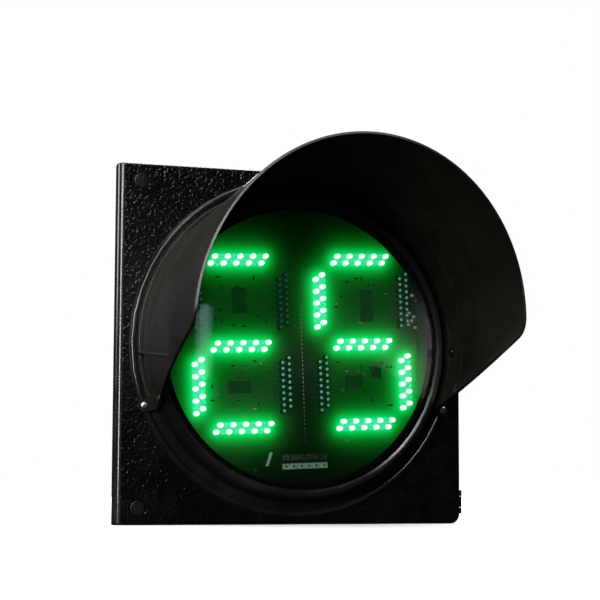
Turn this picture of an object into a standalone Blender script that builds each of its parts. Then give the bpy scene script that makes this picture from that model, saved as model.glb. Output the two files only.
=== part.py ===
"""Single-section LED countdown signal head, 300 mm class, with a hinged door.

Metres, +Z up, front towards -Y.  The origin is on the vertical mounting axis,
on the underside of the bottom blanking cap, which the head stands on.
"""

import math

import bmesh
import bpy
from mathutils import Matrix, Vector

# ---------------------------------------------------------------- dimensions
CASE = 0.355                     # width and height of the door
CENTRE_Z = CASE / 2              # height of the lens axis
FACE_Y = -0.050                  # front plane of the door
MOUNT_Y = 0.0                    # vertical mounting axis
GAP = 0.0003                     # clearance between pieces that touch

HINGE_SIDE_RADIUS = 0.010        # corner radius on the hinge side
LATCH_SIDE_RADIUS = 0.0015       # corner radius on the latch side
WALL = 0.003                     # moulded wall
DOOR_DEPTH = 0.014               # door skirt, from the face back
LIP = 0.0065                     # rounded finger lip along the latch side
SEAL_DEPTH = 0.0025              # space for the door seal
HOUSING_FRONT = DOOR_DEPTH + SEAL_DEPTH
HOUSING_STRAIGHT = 0.038         # where the side walls start to taper
HOUSING_BACK = 0.092             # outside of the rear wall
BACK_SIZE = 0.286                # width and height of the rear wall
BACK_RADIUS = 0.020

BOSS_RADIUS = 0.0332             # mounting bosses, top and bottom
BOSS_LENGTH = 0.030
BORE_RADIUS = 0.023              # bore for a 46 mm mounting tube
RECESS_RADIUS = 0.031
RECESS_DEPTH = 0.005

BEAD_RADIUS = 0.168              # rounded bead round the collar
HOLE_RADIUS = 0.168              # hole in the flat of the door, under the bead
COLLAR_BORE = 0.1482
COLLAR_HEIGHT = 0.022            # collar lip in front of the face
LIP_RADIUS = 0.1420

LENS_RADIUS = 0.1413
LENS_SHOULDER = 0.0235           # lens edge in front of the face
LENS_CROWN = 0.0440              # lens centre in front of the face
LENS_WALL = 0.0025
LENS_FLANGE = 0.1472

VISOR_RADIUS = 0.1584            # outer radius of the visor at the door
VISOR_WALL = 0.0028
VISOR_LENGTH = 0.2023            # at the height of the rim's centre
VISOR_RIM_HEIGHT = 0.1731        # half height of the rim, over its centre
VISOR_RIM_RAISE = 0.0042
VISOR_RIM_LEAN = 0.116           # how far the rim leans out, per unit height
VISOR_LOW_EDGE = -0.068          # lower edge at the door, from the lens axis
FLANGE_RADIUS = 0.1624
FLANGE_END = math.radians(24)
EAR_ANGLE = math.radians(21.5)
EAR_RADIUS = 0.1686

MODULE_TURN = math.radians(2.4)  # the round display sits turned in its seat
BOARD_RADIUS = 0.1375
BOARD_FRONT = -0.012             # depths below are from the face, - is forward
BOARD_THICK = 0.0016
LED_TIP = -0.020
PAN_FLOOR = 0.027
PAN_BACK = 0.0295

DIGIT_CENTRES = {"left": -0.062, "right": 0.066}
DIGIT_HALF_WIDTH = 0.0443
DIGIT_HALF_HEIGHT = 0.0833
DIGIT_RAISE = 0.0032
MIDDLE_DROP = 0.0028             # the middle bar, below the digit's centre
FLAT_BAR = 0.0636                # length of a flat bar of LEDs
UPRIGHT_BAR = 0.0592
BAR_WIDTH = 0.0122

HINGE_X = CASE / 2 + 0.0043
HINGE_Y = FACE_Y + 0.0152
KNUCKLE_RADIUS = 0.004
PIN_RADIUS = 0.0016
PIN_BORE = 0.00168
HINGE_LOW = 0.010                # bottom of the lower hinge
KNUCKLE_SHORT = 0.006            # each housing knuckle
KNUCKLE_LONG = 0.0112            # the door knuckle between them
KNUCKLE_GAP = 0.0004

LATCH_X = -0.161
LATCH_RISE = 0.161               # latch axes, from the lens axis
LATCH_HEAD = 0.0072
LATCH_SHAFT = 0.0050
CAM_LENGTH = 0.012
CAM_FRONT = 0.0189
CAM_THICK = 0.0025

ROUND = 52                       # segments of the large rings


# ------------------------------------------------------------------- helpers
def clear_scene():
    for obj in list(bpy.data.objects):
        bpy.data.objects.remove(obj, do_unlink=True)


def material(name, colour, roughness, metallic=0.0, alpha=1.0):
    mat = bpy.data.materials.new(name)
    mat.use_nodes = True
    shader = mat.node_tree.nodes["Principled BSDF"]
    shader.inputs["Base Color"].default_value = (*colour, 1.0)
    shader.inputs["Roughness"].default_value = roughness
    shader.inputs["Metallic"].default_value = metallic
    shader.inputs["Alpha"].default_value = alpha
    return mat


def to_object(name, bm, mat, smooth=True):
    bmesh.ops.remove_doubles(bm, verts=bm.verts, dist=1e-7)
    bmesh.ops.recalc_face_normals(bm, faces=bm.faces)
    mesh = bpy.data.meshes.new(name)
    bm.to_mesh(mesh)
    bm.free()
    if smooth:
        mesh.shade_smooth()
        mesh.set_sharp_from_angle(angle=math.radians(32))
    obj = bpy.data.objects.new(name, mesh)
    bpy.context.collection.objects.link(obj)
    obj.data.materials.append(mat)
    return obj


def lathe(name, profile, mat, centre, axis, steps=ROUND):
    """Turn a closed outline of (radius, along) pairs about an axis."""
    axis = Vector(axis).normalized()
    side = axis.orthogonal().normalized()
    bm = bmesh.new()
    ring = [bm.verts.new(Vector(centre) + side * r + axis * a) for r, a in profile]
    edges = [bm.edges.new((ring[i - 1], ring[i])) for i in range(len(ring))
             if profile[i - 1][0] > 0 or profile[i][0] > 0]
    bmesh.ops.spin(bm, geom=ring + edges, cent=centre, axis=axis,
                   angle=math.tau, steps=steps, use_merge=True)
    return to_object(name, bm, mat)


def prism(name, outline, direction, mat, smooth=False):
    """Push a flat closed outline of 3-D points along a direction."""
    bm = bmesh.new()
    base = bm.faces.new([bm.verts.new(p) for p in outline])
    top = bmesh.ops.extrude_face_region(bm, geom=[base])
    moved = [v for v in top["geom"] if isinstance(v, bmesh.types.BMVert)]
    bmesh.ops.translate(bm, verts=moved, vec=Vector(direction))
    return to_object(name, bm, mat, smooth)


def box(name, low, high, mat):
    (x0, y0, z0), (x1, y1, z1) = low, high
    outline = [(x0, y0, z0), (x1, y0, z0), (x1, y0, z1), (x0, y0, z1)]
    return prism(name, outline, (0, y1 - y0, 0), mat)


def rod(name, start, end, radius, mat, steps=16):
    """A plain cylinder between two points."""
    start, end = Vector(start), Vector(end)
    axis = end - start
    side = axis.orthogonal().normalized() * radius
    outline = [start + Matrix.Rotation(math.tau * i / steps, 3, axis) @ side
               for i in range(steps)]
    return prism(name, outline, axis, mat, smooth=True)


def guide(obj):
    """Mark an object as a tool for a Boolean, not a piece."""
    obj.hide_render = True
    obj.display_type = "WIRE"
    return obj


def boolean(obj, tool, operation):
    mod = obj.modifiers.new(tool.name, "BOOLEAN")
    mod.operation = operation
    mod.solver = "EXACT"
    mod.object = guide(tool)


def cut(obj, *tools):
    for tool in tools:
        boolean(obj, tool, "DIFFERENCE")


def weld(obj, *tools):
    for tool in tools:
        boolean(obj, tool, "UNION")


def gather(name, tools, mat):
    """Join tools that stand clear of each other, for one Boolean."""
    bm = bmesh.new()
    for tool in tools:
        bm.from_mesh(tool.data)
        bpy.data.objects.remove(tool)
    return to_object(name, bm, mat)


def pivot(name, location, parent=None):
    empty = bpy.data.objects.new(name, None)
    bpy.context.collection.objects.link(empty)
    empty.location = location
    attach(parent, empty)
    return empty


def attach(parent, *pieces):
    """Parent pieces to an empty and keep them where they are."""
    bpy.context.view_layer.update()
    for piece in pieces:
        if parent:
            piece.parent = parent
            piece.matrix_parent_inverse = parent.matrix_world.inverted()


def face_point(x, depth, z):
    """A point from the lens axis and the front plane of the door."""
    return Vector((x, FACE_Y + depth, CENTRE_Z + z))


def polar(radius, angle, depth):
    return face_point(radius * math.cos(angle), depth, radius * math.sin(angle))


def rounded_square(half, radii, depth, steps=4):
    """Square outline; radii run from the top right corner, anticlockwise."""
    points = []
    corners = ((1, 1), (-1, 1), (-1, -1), (1, -1))
    for turn, ((sx, sz), radius) in enumerate(zip(corners, radii)):
        for i in range(steps + 1):
            angle = math.pi / 2 * (turn + i / steps)
            x = sx * (half - radius) + radius * math.cos(angle)
            z = sz * (half - radius) + radius * math.sin(angle)
            points.append(face_point(x, depth, z))
    return points


def case_radii(inset=0.0):
    big = max(HINGE_SIDE_RADIUS - inset, 0.001)
    small = max(LATCH_SIDE_RADIUS - inset, 0.001)
    return (big, small, small, big)


def loft(name, outlines, mat):
    """Skin equal outlines into one closed body."""
    bm = bmesh.new()
    rings = [[bm.verts.new(p) for p in outline] for outline in outlines]
    for one, two in zip(rings, rings[1:]):
        for i in range(len(one)):
            bm.faces.new((one[i - 1], one[i], two[i], two[i - 1]))
    bm.faces.new(rings[0])
    bm.faces.new(rings[-1])
    return to_object(name, bm, mat)


def lens_lathe(name, profile, mat, steps=ROUND):
    """Turn an outline of (radius, depth) pairs about the lens axis."""
    return lathe(name, profile, mat, face_point(0, 0, 0), (0, 1, 0), steps)


# --------------------------------------------------------------- the housing
def housing_shell(mat):
    front = CASE / 2 - GAP
    back = BACK_SIZE / 2
    radii = (BACK_RADIUS,) * 4
    outside = [
        rounded_square(front, case_radii(), HOUSING_FRONT),
        rounded_square(front, case_radii(), HOUSING_STRAIGHT),
        rounded_square(back + 0.004, radii, HOUSING_BACK - 0.004),
        rounded_square(back, radii, HOUSING_BACK),
    ]
    inside = [
        rounded_square(front - WALL, case_radii(WALL), HOUSING_FRONT - 0.005),
        rounded_square(front - WALL, case_radii(WALL), HOUSING_STRAIGHT - 0.001),
        rounded_square(back - 0.001, radii, HOUSING_BACK - WALL),
    ]
    shell = loft("housing", outside, mat)
    cut(shell, loft("housing_inside", inside, mat))
    return shell


def mounting_bosses(mat):
    """The bosses top and bottom, and the cutters of their bores."""
    bosses = []
    bores = []
    bore = [(0, -0.010), (RECESS_RADIUS, -0.010), (RECESS_RADIUS, RECESS_DEPTH),
            (BORE_RADIUS, RECESS_DEPTH), (BORE_RADIUS, BOSS_LENGTH + 0.010),
            (0, BOSS_LENGTH + 0.010)]
    for label, z, inward in (("bottom", 0.0, 1), ("top", CASE, -1)):
        start = Vector((0, MOUNT_Y, z))
        end = start + Vector((0, 0, inward * BOSS_LENGTH))
        bosses.append(rod(label + "_boss", start, end, BOSS_RADIUS, mat, 32))
        bores.append(lathe(label + "_bore", bore, mat, start, (0, 0, inward), steps=32))
    return bosses, bores


def hinge_levels():
    """Bottom heights of the two hinges."""
    length = 2 * KNUCKLE_SHORT + KNUCKLE_LONG + 2 * KNUCKLE_GAP
    return {"lower": HINGE_LOW, "upper": CASE - HINGE_LOW - length}


def knuckle(name, low, length, way, mat):
    """A barrel on the hinge axis with a web back (1) or forward (-1) to its wall."""
    angles = [math.radians(180 + 230 * i / 12) for i in range(13)]
    outline = [Vector((HINGE_X + KNUCKLE_RADIUS * math.cos(a),
                       HINGE_Y + way * KNUCKLE_RADIUS * math.sin(a), low)) for a in angles]
    for depth in (0.0098, 0.0018):
        outline.append(Vector((CASE / 2 - 0.0015, HINGE_Y + way * depth, low)))
    return prism(name, outline, (0, 0, length), mat)


def pin_holes(mat):
    return [rod("pin_hole_" + label, (HINGE_X, HINGE_Y, low - 0.002),
                (HINGE_X, HINGE_Y, low + 0.030), PIN_BORE, mat, 16)
            for label, low in hinge_levels().items()]


def housing_knuckles(mat):
    step = KNUCKLE_SHORT + KNUCKLE_LONG + 2 * KNUCKLE_GAP
    return [knuckle("housing_knuckle_%s_%d" % (label, i), low + i * step, KNUCKLE_SHORT, 1, mat)
            for label, low in hinge_levels().items() for i in (0, 1)]


def strikes(mat):
    """Ledges that the latch cams turn behind."""
    return [box("strike_%d" % side,
                face_point(-CASE / 2 + 0.0015, 0.0166, side * LATCH_RISE - 0.007),
                face_point(LATCH_X - 0.0056, 0.0186, side * LATCH_RISE + 0.007), mat)
            for side in (-1, 1)]


PLATE_SCREW_X = 0.078
PLATE_DEPTH = 0.0820             # front of the equipment plate
PLATE_THICK = 0.0015
GLAND_X = 0.095
GLAND_Z = -0.110


def plate_posts(mat):
    """Posts of the equipment plate, and the cutters of their holes."""
    posts = []
    holes = []
    top = PLATE_DEPTH + PLATE_THICK + GAP
    for side in (-1, 1):
        x = side * PLATE_SCREW_X
        posts.append(rod("plate_post_%d" % side, face_point(x, top, 0),
                         face_point(x, HOUSING_BACK - 0.001, 0), 0.005, mat, 12))
        holes.append(rod("plate_post_hole_%d" % side, face_point(x, top - 0.002, 0),
                         face_point(x, HOUSING_BACK - 0.0025, 0), 0.0018, mat, 12))
    return posts, holes


def make_housing(mat):
    shell = housing_shell(mat)
    bosses, bores = mounting_bosses(mat)
    posts, post_holes = plate_posts(mat)
    gland_hole = rod("gland_hole", face_point(GLAND_X, HOUSING_BACK - 0.01, GLAND_Z),
                     face_point(GLAND_X, HOUSING_BACK + 0.01, GLAND_Z), 0.0083, mat, 20)
    weld(shell, gather("housing_joined", bosses + posts + housing_knuckles(mat) + strikes(mat),
                       mat))
    cut(shell, gather("housing_holes", bores + post_holes + pin_holes(mat) + [gland_hole], mat))


def make_door_seal(mat):
    """Rubber frame between the door skirt and the housing."""
    start = DOOR_DEPTH + GAP
    outer = CASE / 2 - 0.0008
    inner = CASE / 2 - 0.0028
    seal = prism("door_seal", rounded_square(outer, case_radii(0.0008), start),
                 (0, SEAL_DEPTH - 2 * GAP, 0), mat)
    cut(seal, prism("door_seal_inside", rounded_square(inner, case_radii(0.0028), start - 0.002),
                    (0, SEAL_DEPTH + 0.004, 0), mat))


def make_caps(cap_mat, seal_mat):
    """Blanking caps that close the two mounting bores."""
    flange = RECESS_DEPTH - 0.002
    stem = BORE_RADIUS - 0.0005
    cap = [(0, 0), (RECESS_RADIUS - GAP, 0), (RECESS_RADIUS - GAP, flange), (stem, flange),
           (stem, BOSS_LENGTH + 0.008), (stem - WALL, BOSS_LENGTH + 0.008),
           (stem - WALL, flange), (0, flange)]
    seal = [(stem + 0.001, flange + GAP), (RECESS_RADIUS - 0.001, flange + GAP),
            (RECESS_RADIUS - 0.001, RECESS_DEPTH - GAP), (stem + 0.001, RECESS_DEPTH - GAP)]
    nut = [(stem + GAP, BOSS_LENGTH + GAP), (BOSS_RADIUS - 0.004, BOSS_LENGTH + GAP),
           (BOSS_RADIUS - 0.004, BOSS_LENGTH + 0.006), (stem + GAP, BOSS_LENGTH + 0.006)]
    for label, z, inward in (("bottom", 0.0, 1), ("top", CASE, -1)):
        place = ((0, MOUNT_Y, z), (0, 0, inward))
        lathe(label + "_cap", cap, cap_mat, *place, steps=32)
        lathe(label + "_cap_seal", seal, seal_mat, *place, steps=32)
        lathe(label + "_cap_nut", nut, cap_mat, *place, steps=32)


def make_gland(mat, seal_mat):
    """Cable gland in the rear wall: body, sealing ring and dome nut."""
    centre = face_point(GLAND_X, HOUSING_BACK, GLAND_Z)
    body = [(0.0050, -0.0095), (0.0080, -0.0095), (0.0080, GAP), (0.0120, GAP),
            (0.0120, 0.0050), (0.0086, 0.0050), (0.0086, 0.0120), (0.0066, 0.0120),
            (0.0066, 0.0040), (0.0050, 0.0040)]
    ring = [(0.0035, 0.0045), (0.0063, 0.0045), (0.0063, 0.0125), (0.0035, 0.0125)]
    nut = [(0.0089, 0.0053), (0.0118, 0.0053), (0.0118, 0.0120), (0.0085, 0.0165),
           (0.0050, 0.0165), (0.0050, 0.0135), (0.0089, 0.0125)]
    lathe("gland_body", body, mat, centre, (0, 1, 0), steps=20)
    lathe("gland_seal", ring, seal_mat, centre, (0, 1, 0), steps=20)
    lathe("gland_nut", nut, mat, centre, (0, 1, 0), steps=20)


def make_hinge_pins(mat):
    for label, low in hinge_levels().items():
        rod("hinge_pin_" + label, (HINGE_X, HINGE_Y, low - 0.0006),
            (HINGE_X, HINGE_Y, low + 0.0246), PIN_RADIUS, mat, 16)


def screw(name, seat, outward, mat, head=0.0036, height=0.0022, shank=0.0017, length=0.008):
    """A pan head screw; the seat is under its head."""
    profile = [(0, height), (head * 0.6, height), (head, height * 0.55), (head, 0),
               (shank, 0), (shank, -length), (0, -length)]
    return lathe(name, profile, mat, seat, outward, steps=12)


def make_equipment(steel, plastic):
    """Equipment plate, its screws and the terminal block."""
    top = PLATE_DEPTH
    plate = box("equipment_plate", face_point(-0.090, top, -0.045),
                face_point(0.090, top + PLATE_THICK, 0.045), steel)
    for side, label in ((-1, "left"), (1, "right")):
        x = side * PLATE_SCREW_X
        cut(plate, rod("plate_hole_" + label, face_point(x, top - 0.001, 0),
                       face_point(x, top + 0.003, 0), 0.0021, steel, 16))
        screw("plate_screw_" + label, face_point(x, top - GAP, 0), (0, -1, 0), steel,
              length=0.0065, shank=0.0015)
    seat = top - GAP
    outline = [(-0.011, 0.0), (0.011, 0.0), (0.011, -0.010), (0.006, -0.018),
               (-0.006, -0.018), (-0.011, -0.010)]
    block = prism("terminal_block", [face_point(-0.045, seat + y, z) for z, y in outline],
                  (0.090, 0, 0), plastic)
    wells = [rod("terminal_well_%d" % i, face_point(-0.0375 + 0.015 * i, seat - 0.020, 0),
                 face_point(-0.0375 + 0.015 * i, seat - 0.010, 0), 0.0032, plastic, 12)
             for i in range(6)]
    cut(block, *wells)


# ------------------------------------------------------------------ the door
def collar_profile():
    """Bead, groove, visor seat, collar and lip, from the outside inwards."""
    bead = [(BEAD_RADIUS + 0.0034 * math.cos(a), 0.0005 - 0.0037 * math.sin(a))
            for a in (math.radians(180 * i / 5) for i in range(6))]
    front = [(0.1628, 0.0005), (0.1622, 0.0), (0.1548, 0.0), (0.1530, -0.0180),
             (0.1500, -COLLAR_HEIGHT), (0.1445, -COLLAR_HEIGHT), (LIP_RADIUS, -0.0190)]
    back = [(COLLAR_BORE, -0.0190), (COLLAR_BORE, 0.0030), (HOLE_RADIUS - 0.0004, 0.0030),
            (HOLE_RADIUS - 0.0004, 0.0016), (BEAD_RADIUS + 0.0034, 0.0016)]
    return bead + front + back


def clip_angles():
    return [math.radians(45 + 90 * i) for i in range(4)]


def visor_screw_angles():
    return (-EAR_ANGLE, math.pi / 2, math.pi + EAR_ANGLE)


def latch_seats(mat):
    """Bosses behind the latches, and the cutters of their stepped seats."""
    bosses = []
    seats = []
    head = LATCH_HEAD + 0.0004
    shaft = LATCH_SHAFT + 0.0003
    stepped = [(0, -0.002), (head, -0.002), (head, 0.0027), (shaft, 0.0027), (shaft, 0.015),
               (0, 0.015)]
    for side in (-1, 1):
        z = side * LATCH_RISE
        bosses.append(rod("latch_boss_%d" % side, face_point(LATCH_X, 0.0020, z),
                          face_point(LATCH_X, 0.0110, z), 0.0095, mat, 20))
        seats.append(lathe("latch_seat_%d" % side, stepped, mat, face_point(LATCH_X, 0, z),
                           (0, 1, 0), steps=20))
    return bosses, seats


def door_knuckles(mat):
    return [knuckle("door_knuckle_" + label, low + KNUCKLE_SHORT + KNUCKLE_GAP, KNUCKLE_LONG,
                    -1, mat)
            for label, low in hinge_levels().items()]


def door_screw_holes(mat):
    holes = [rod("visor_screw_hole_%d" % i, polar(EAR_RADIUS, angle, -0.006),
                 polar(EAR_RADIUS, angle, 0.006), 0.0023, mat, 12)
             for i, angle in enumerate(visor_screw_angles())]
    holes += [rod("clip_screw_hole_%d" % i, polar(0.158, angle, 0.0006),
                  polar(0.158, angle, 0.006), 0.0018, mat, 12)
              for i, angle in enumerate(clip_angles())]
    return holes


def lipped_outline(depth):
    """The door's outline, with its latch side moved out by the rounded lip."""
    out = math.sqrt(LIP ** 2 - max(LIP - depth, 0) ** 2)
    return [p - Vector((out, 0, 0)) if p.x < 0 else p
            for p in rounded_square(CASE / 2, case_radii(), depth)]


def make_door(mat):
    half = CASE / 2
    depths = [LIP * (1 - math.cos(math.radians(18 * i))) for i in range(6)] + [DOOR_DEPTH]
    door = loft("door", [lipped_outline(depth) for depth in depths], mat)
    inside = rounded_square(half - WALL, case_radii(WALL), WALL)
    cut(door, prism("door_inside", inside, (0, DOOR_DEPTH, 0), mat),
        lens_lathe("door_opening", [(0, -0.01), (HOLE_RADIUS, -0.01), (HOLE_RADIUS, 0.01),
                                    (0, 0.01)], mat))
    bosses, seats = latch_seats(mat)
    collar = lens_lathe("door_collar", collar_profile(), mat)
    weld(door, gather("door_joined", [collar] + bosses + door_knuckles(mat), mat))
    cut(door, gather("door_holes", seats + pin_holes(mat) + door_screw_holes(mat), mat))
    return door


def cap_curve(radius, edge, crown, steps):
    """Points of a shallow spherical cap, from its edge to its crown."""
    rise = edge - crown
    sphere = (radius ** 2 + rise ** 2) / (2 * rise)
    points = []
    for i in range(steps + 1):
        r = radius * (1 - i / steps)
        points.append((r, crown + sphere - math.sqrt(sphere ** 2 - r ** 2)))
    return points


def make_lens(mat, seal_mat):
    outside = cap_curve(LENS_RADIUS, -LENS_SHOULDER, -LENS_CROWN, 5)
    inside = cap_curve(LENS_RADIUS - LENS_WALL, -LENS_SHOULDER + LENS_WALL,
                       -LENS_CROWN + LENS_WALL, 5)
    flange = [(LENS_RADIUS - LENS_WALL, -0.0147), (LENS_FLANGE, -0.0147),
              (LENS_FLANGE, -0.0172), (LENS_RADIUS, -0.0172)]
    lens = lens_lathe("lens", flange + outside + list(reversed(inside)), mat)
    seal = lens_lathe("lens_seal", [(0.1424, -0.0187), (0.1476, -0.0187),
                                    (0.1476, -0.0175), (0.1424, -0.0175)], seal_mat)
    return [lens, seal]


def make_clips(steel):
    """Z-shaped clips behind the collar that hold the display module."""
    section = [(0.1436, -0.0121), (0.1476, -0.0121), (0.1476, 0.0033), (0.1650, 0.0033),
               (0.1650, 0.0053), (0.1436, 0.0053)]
    pieces = []
    for i, angle in enumerate(clip_angles()):
        across = Vector((-math.sin(angle), 0, math.cos(angle))) * 0.006
        clip = prism("lens_clip_%d" % (i + 1), [polar(r, angle, d) - across for r, d in section],
                     across * 2, steel)
        cut(clip, rod("lens_clip_hole_%d" % i, polar(0.158, angle, 0.002),
                      polar(0.158, angle, 0.007), 0.0020, steel, 16))
        fixing = screw("lens_clip_screw_%d" % (i + 1), polar(0.158, angle, 0.0056), (0, 1, 0),
                       steel, head=0.0032, height=0.0020, shank=0.0015, length=0.0046)
        pieces += [clip, fixing]
    return pieces


def visor_point(along, turn, inset):
    """A point of the visor: along 0-1 to the rim, turn 0-1 over the roof."""
    raise_z = VISOR_RIM_RAISE * along
    half_height = VISOR_RADIUS + (VISOR_RIM_HEIGHT - VISOR_RADIUS) * along
    length = VISOR_LENGTH * along
    low = VISOR_LOW_EDGE + (VISOR_RIM_RAISE - VISOR_LOW_EDGE) * along
    start = math.asin((low - raise_z) / half_height)
    angle = start + (math.pi - 2 * start) * turn
    x = (VISOR_RADIUS - inset) * math.cos(angle)
    rise = (half_height - inset) * math.sin(angle)
    depth = -GAP - length - VISOR_RIM_LEAN * along * rise
    return face_point(x, depth, raise_z + rise)


def visor_wall(mat, rows=4, columns=32):
    bm = bmesh.new()
    skins = []
    for inset in (0.0, VISOR_WALL):
        skins.append([[bm.verts.new(visor_point(i / rows, j / columns, inset))
                       for j in range(columns + 1)] for i in range(rows + 1)])
    outer, inner = skins
    for skin in skins:
        for i in range(rows):
            for j in range(columns):
                bm.faces.new((skin[i][j], skin[i][j + 1], skin[i + 1][j + 1], skin[i + 1][j]))
    for j in range(columns):
        for i in (0, rows):
            bm.faces.new((outer[i][j], outer[i][j + 1], inner[i][j + 1], inner[i][j]))
    for i in range(rows):
        for j in (0, columns):
            bm.faces.new((outer[i][j], outer[i + 1][j], inner[i + 1][j], inner[i][j]))
    return to_object("visor", bm, mat)


def arc_band(name, inner, outer, front, back, mat, steps=32):
    """A flat ring sector over the top of the lens."""
    angles = [-FLANGE_END + (math.pi + 2 * FLANGE_END) * i / steps for i in range(steps + 1)]
    outline = [polar(outer, a, back) for a in angles]
    outline += [polar(inner, a, back) for a in reversed(angles)]
    return prism(name, outline, (0, front - back, 0), mat)


def visor_ears(mat):
    """Screw ears in front of the flange, and the cutters of their holes."""
    ears = []
    holes = []
    for i, angle in enumerate(visor_screw_angles()):
        outline = [polar(EAR_RADIUS, angle, -0.0038)
                   + Matrix.Rotation(a - angle, 3, "Y") @ Vector((0.0062, 0, 0))
                   for a in (math.pi * (j / 8 - 0.5) for j in range(9))]
        across = Vector((-math.sin(angle), 0, math.cos(angle))) * 0.0062
        root = polar(0.1570, angle, -0.0038)
        outline += [root - across, root + across]
        ears.append(prism("visor_ear_%d" % i, outline, (0, -0.0025, 0), mat))
        holes.append(rod("visor_ear_hole_%d" % i, polar(EAR_RADIUS, angle, -0.002),
                         polar(EAR_RADIUS, angle, -0.008), 0.0023, mat, 12))
    return ears, holes


def visor_gussets(mat):
    """Long low ribs that stiffen the visor's sides."""
    ribs = []
    for side in (-1, 1):
        outline = [(0.1568, -0.0020, -0.0095), (0.1622, -0.0020, -0.0095),
                   (0.1622, -0.0080, -0.0100), (0.1582, -0.1120, -0.0190),
                   (0.1560, -0.1120, -0.0190)]
        points = [face_point(side * x, d, z) for x, d, z in outline]
        ribs.append(prism("visor_gusset_%d" % side, points, (0, 0, -0.0030), mat))
    return ribs


def make_visor(mat, steel):
    visor = visor_wall(mat)
    flange = arc_band("visor_flange", 0.1568, FLANGE_RADIUS, -0.0034, -0.0005, mat)
    ears, holes = visor_ears(mat)
    weld(visor, gather("visor_joined", [flange] + ears, mat),
         gather("visor_ribs", visor_gussets(mat), mat))
    pieces = [visor]
    for i, angle in enumerate(visor_screw_angles()):
        pieces.append(screw("visor_screw_%d" % (i + 1), polar(EAR_RADIUS, angle, -0.0066),
                            (0, -1, 0), steel, shank=0.0019, length=0.0120))
    for side, label in ((-1, "left"), (1, "right")):
        seat = face_point(side * (VISOR_RADIUS - VISOR_WALL - 0.0010), -0.034, -0.0036)
        holes.append(rod("visor_side_hole_" + label, seat - Vector((side * 0.004, 0, 0)),
                         seat + Vector((side * 0.008, 0, 0)), 0.0022, mat, 12))
        pieces.append(screw("visor_side_screw_" + label, seat, (-side, 0, 0), steel,
                            head=0.0045, shank=0.0018, length=0.0033))
    cut(visor, gather("visor_holes", holes, mat))
    return pieces


def turned(x, z):
    """Turn a point of the display about the lens axis."""
    c, s = math.cos(MODULE_TURN), math.sin(MODULE_TURN)
    return x * c - z * s, x * s + z * c


def display_point(x, depth, z):
    x, z = turned(x, z)
    return face_point(x, depth, z)


def display_bar(name, x, z, length, width, front, back, mat, upright=False):
    """A bar of the display with clipped corners."""
    a, b = length / 2, width / 2
    clip = b * 0.45
    outline = [(a, b - clip), (a - clip, b), (clip - a, b), (-a, b - clip),
               (-a, clip - b), (clip - a, -b), (a - clip, -b), (a, clip - b)]
    if upright:
        outline = [(v, u) for u, v in outline]
    points = [display_point(x + u, back, z + v) for u, v in outline]
    return prism(name, points, (0, front - back, 0), mat)


def make_segments(lit, unlit):
    """Two digits of seven LED bars each; they show the digits 2 and 5."""
    h, w = DIGIT_HALF_HEIGHT, DIGIT_HALF_WIDTH
    layout = {"a": (0, h, False), "b": (w, h / 2, True), "c": (w, -h / 2, True),
              "d": (0, -h, False), "e": (-w, -h / 2, True), "f": (-w, h / 2, True),
              "g": (0, -MIDDLE_DROP, False)}
    shown = {"left": "adeg", "right": "acdfg"}
    pieces = []
    for label, centre in DIGIT_CENTRES.items():
        for key, (x, z, upright) in layout.items():
            mat = lit if key in shown[label] else unlit
            length = UPRIGHT_BAR if upright else FLAT_BAR
            pieces.append(display_bar("leds_%s_%s" % (label, key), centre + x, z + DIGIT_RAISE,
                                      length, BAR_WIDTH, LED_TIP, BOARD_FRONT - GAP, mat,
                                      upright))
    return pieces


SPACER_RADIUS = 0.100
CONTROL_HALF = (0.060, 0.040)
CONTROL_DEPTH = 0.0180


def make_module(pan_mat, board_mat, steel, core_mat):
    """Display module: pan, LED board, spacers, control board, transformer."""
    wall = 0.0025
    pan_profile = [(0, PAN_FLOOR), (0.1235, PAN_FLOOR), (0.1405, -0.0050), (0.1405, -0.0144),
                   (LENS_FLANGE, -0.0144), (LENS_FLANGE, -0.0124), (0.1430, -0.0124),
                   (0.1430, -0.0045), (0.1253, PAN_BACK), (0, PAN_BACK)]
    pan = lens_lathe("module_cover", pan_profile, pan_mat)
    corners = [(sx * (CONTROL_HALF[0] - 0.008), sz * (CONTROL_HALF[1] - 0.008))
               for sx in (-1, 1) for sz in (-1, 1)]
    for i, (x, z) in enumerate(corners):
        weld(pan, rod("board_post_%d" % i, display_point(x, PAN_FLOOR + wall / 2, z),
                      display_point(x, CONTROL_DEPTH + BOARD_THICK + GAP, z), 0.004, pan_mat, 10))
    back = BOARD_FRONT + BOARD_THICK
    board = lens_lathe("led_board", [(0, BOARD_FRONT), (BOARD_RADIUS, BOARD_FRONT),
                                     (BOARD_RADIUS, back), (0, back)], board_mat)
    pieces = [pan, board]
    for i in range(3):
        angle = math.radians(90 + 120 * i) + MODULE_TURN
        pieces.append(rod("board_spacer_%d" % (i + 1), polar(SPACER_RADIUS, angle, back + GAP),
                          polar(SPACER_RADIUS, angle, PAN_FLOOR - GAP), 0.0035, steel, 6))
    a, b = CONTROL_HALF
    outline = [display_point(x, CONTROL_DEPTH, z)
               for x, z in ((-a, -b), (a, -b), (a, b), (-a, b))]
    pieces.append(prism("control_board", outline, (0, BOARD_THICK, 0), board_mat))
    outline = [display_point(x, CONTROL_DEPTH - GAP, z)
               for x, z in ((-0.050, -0.020), (-0.008, -0.020), (-0.008, 0.020), (-0.050, 0.020))]
    pieces.append(prism("transformer", outline, (0, -0.0220, 0), core_mat))
    return pieces


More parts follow.
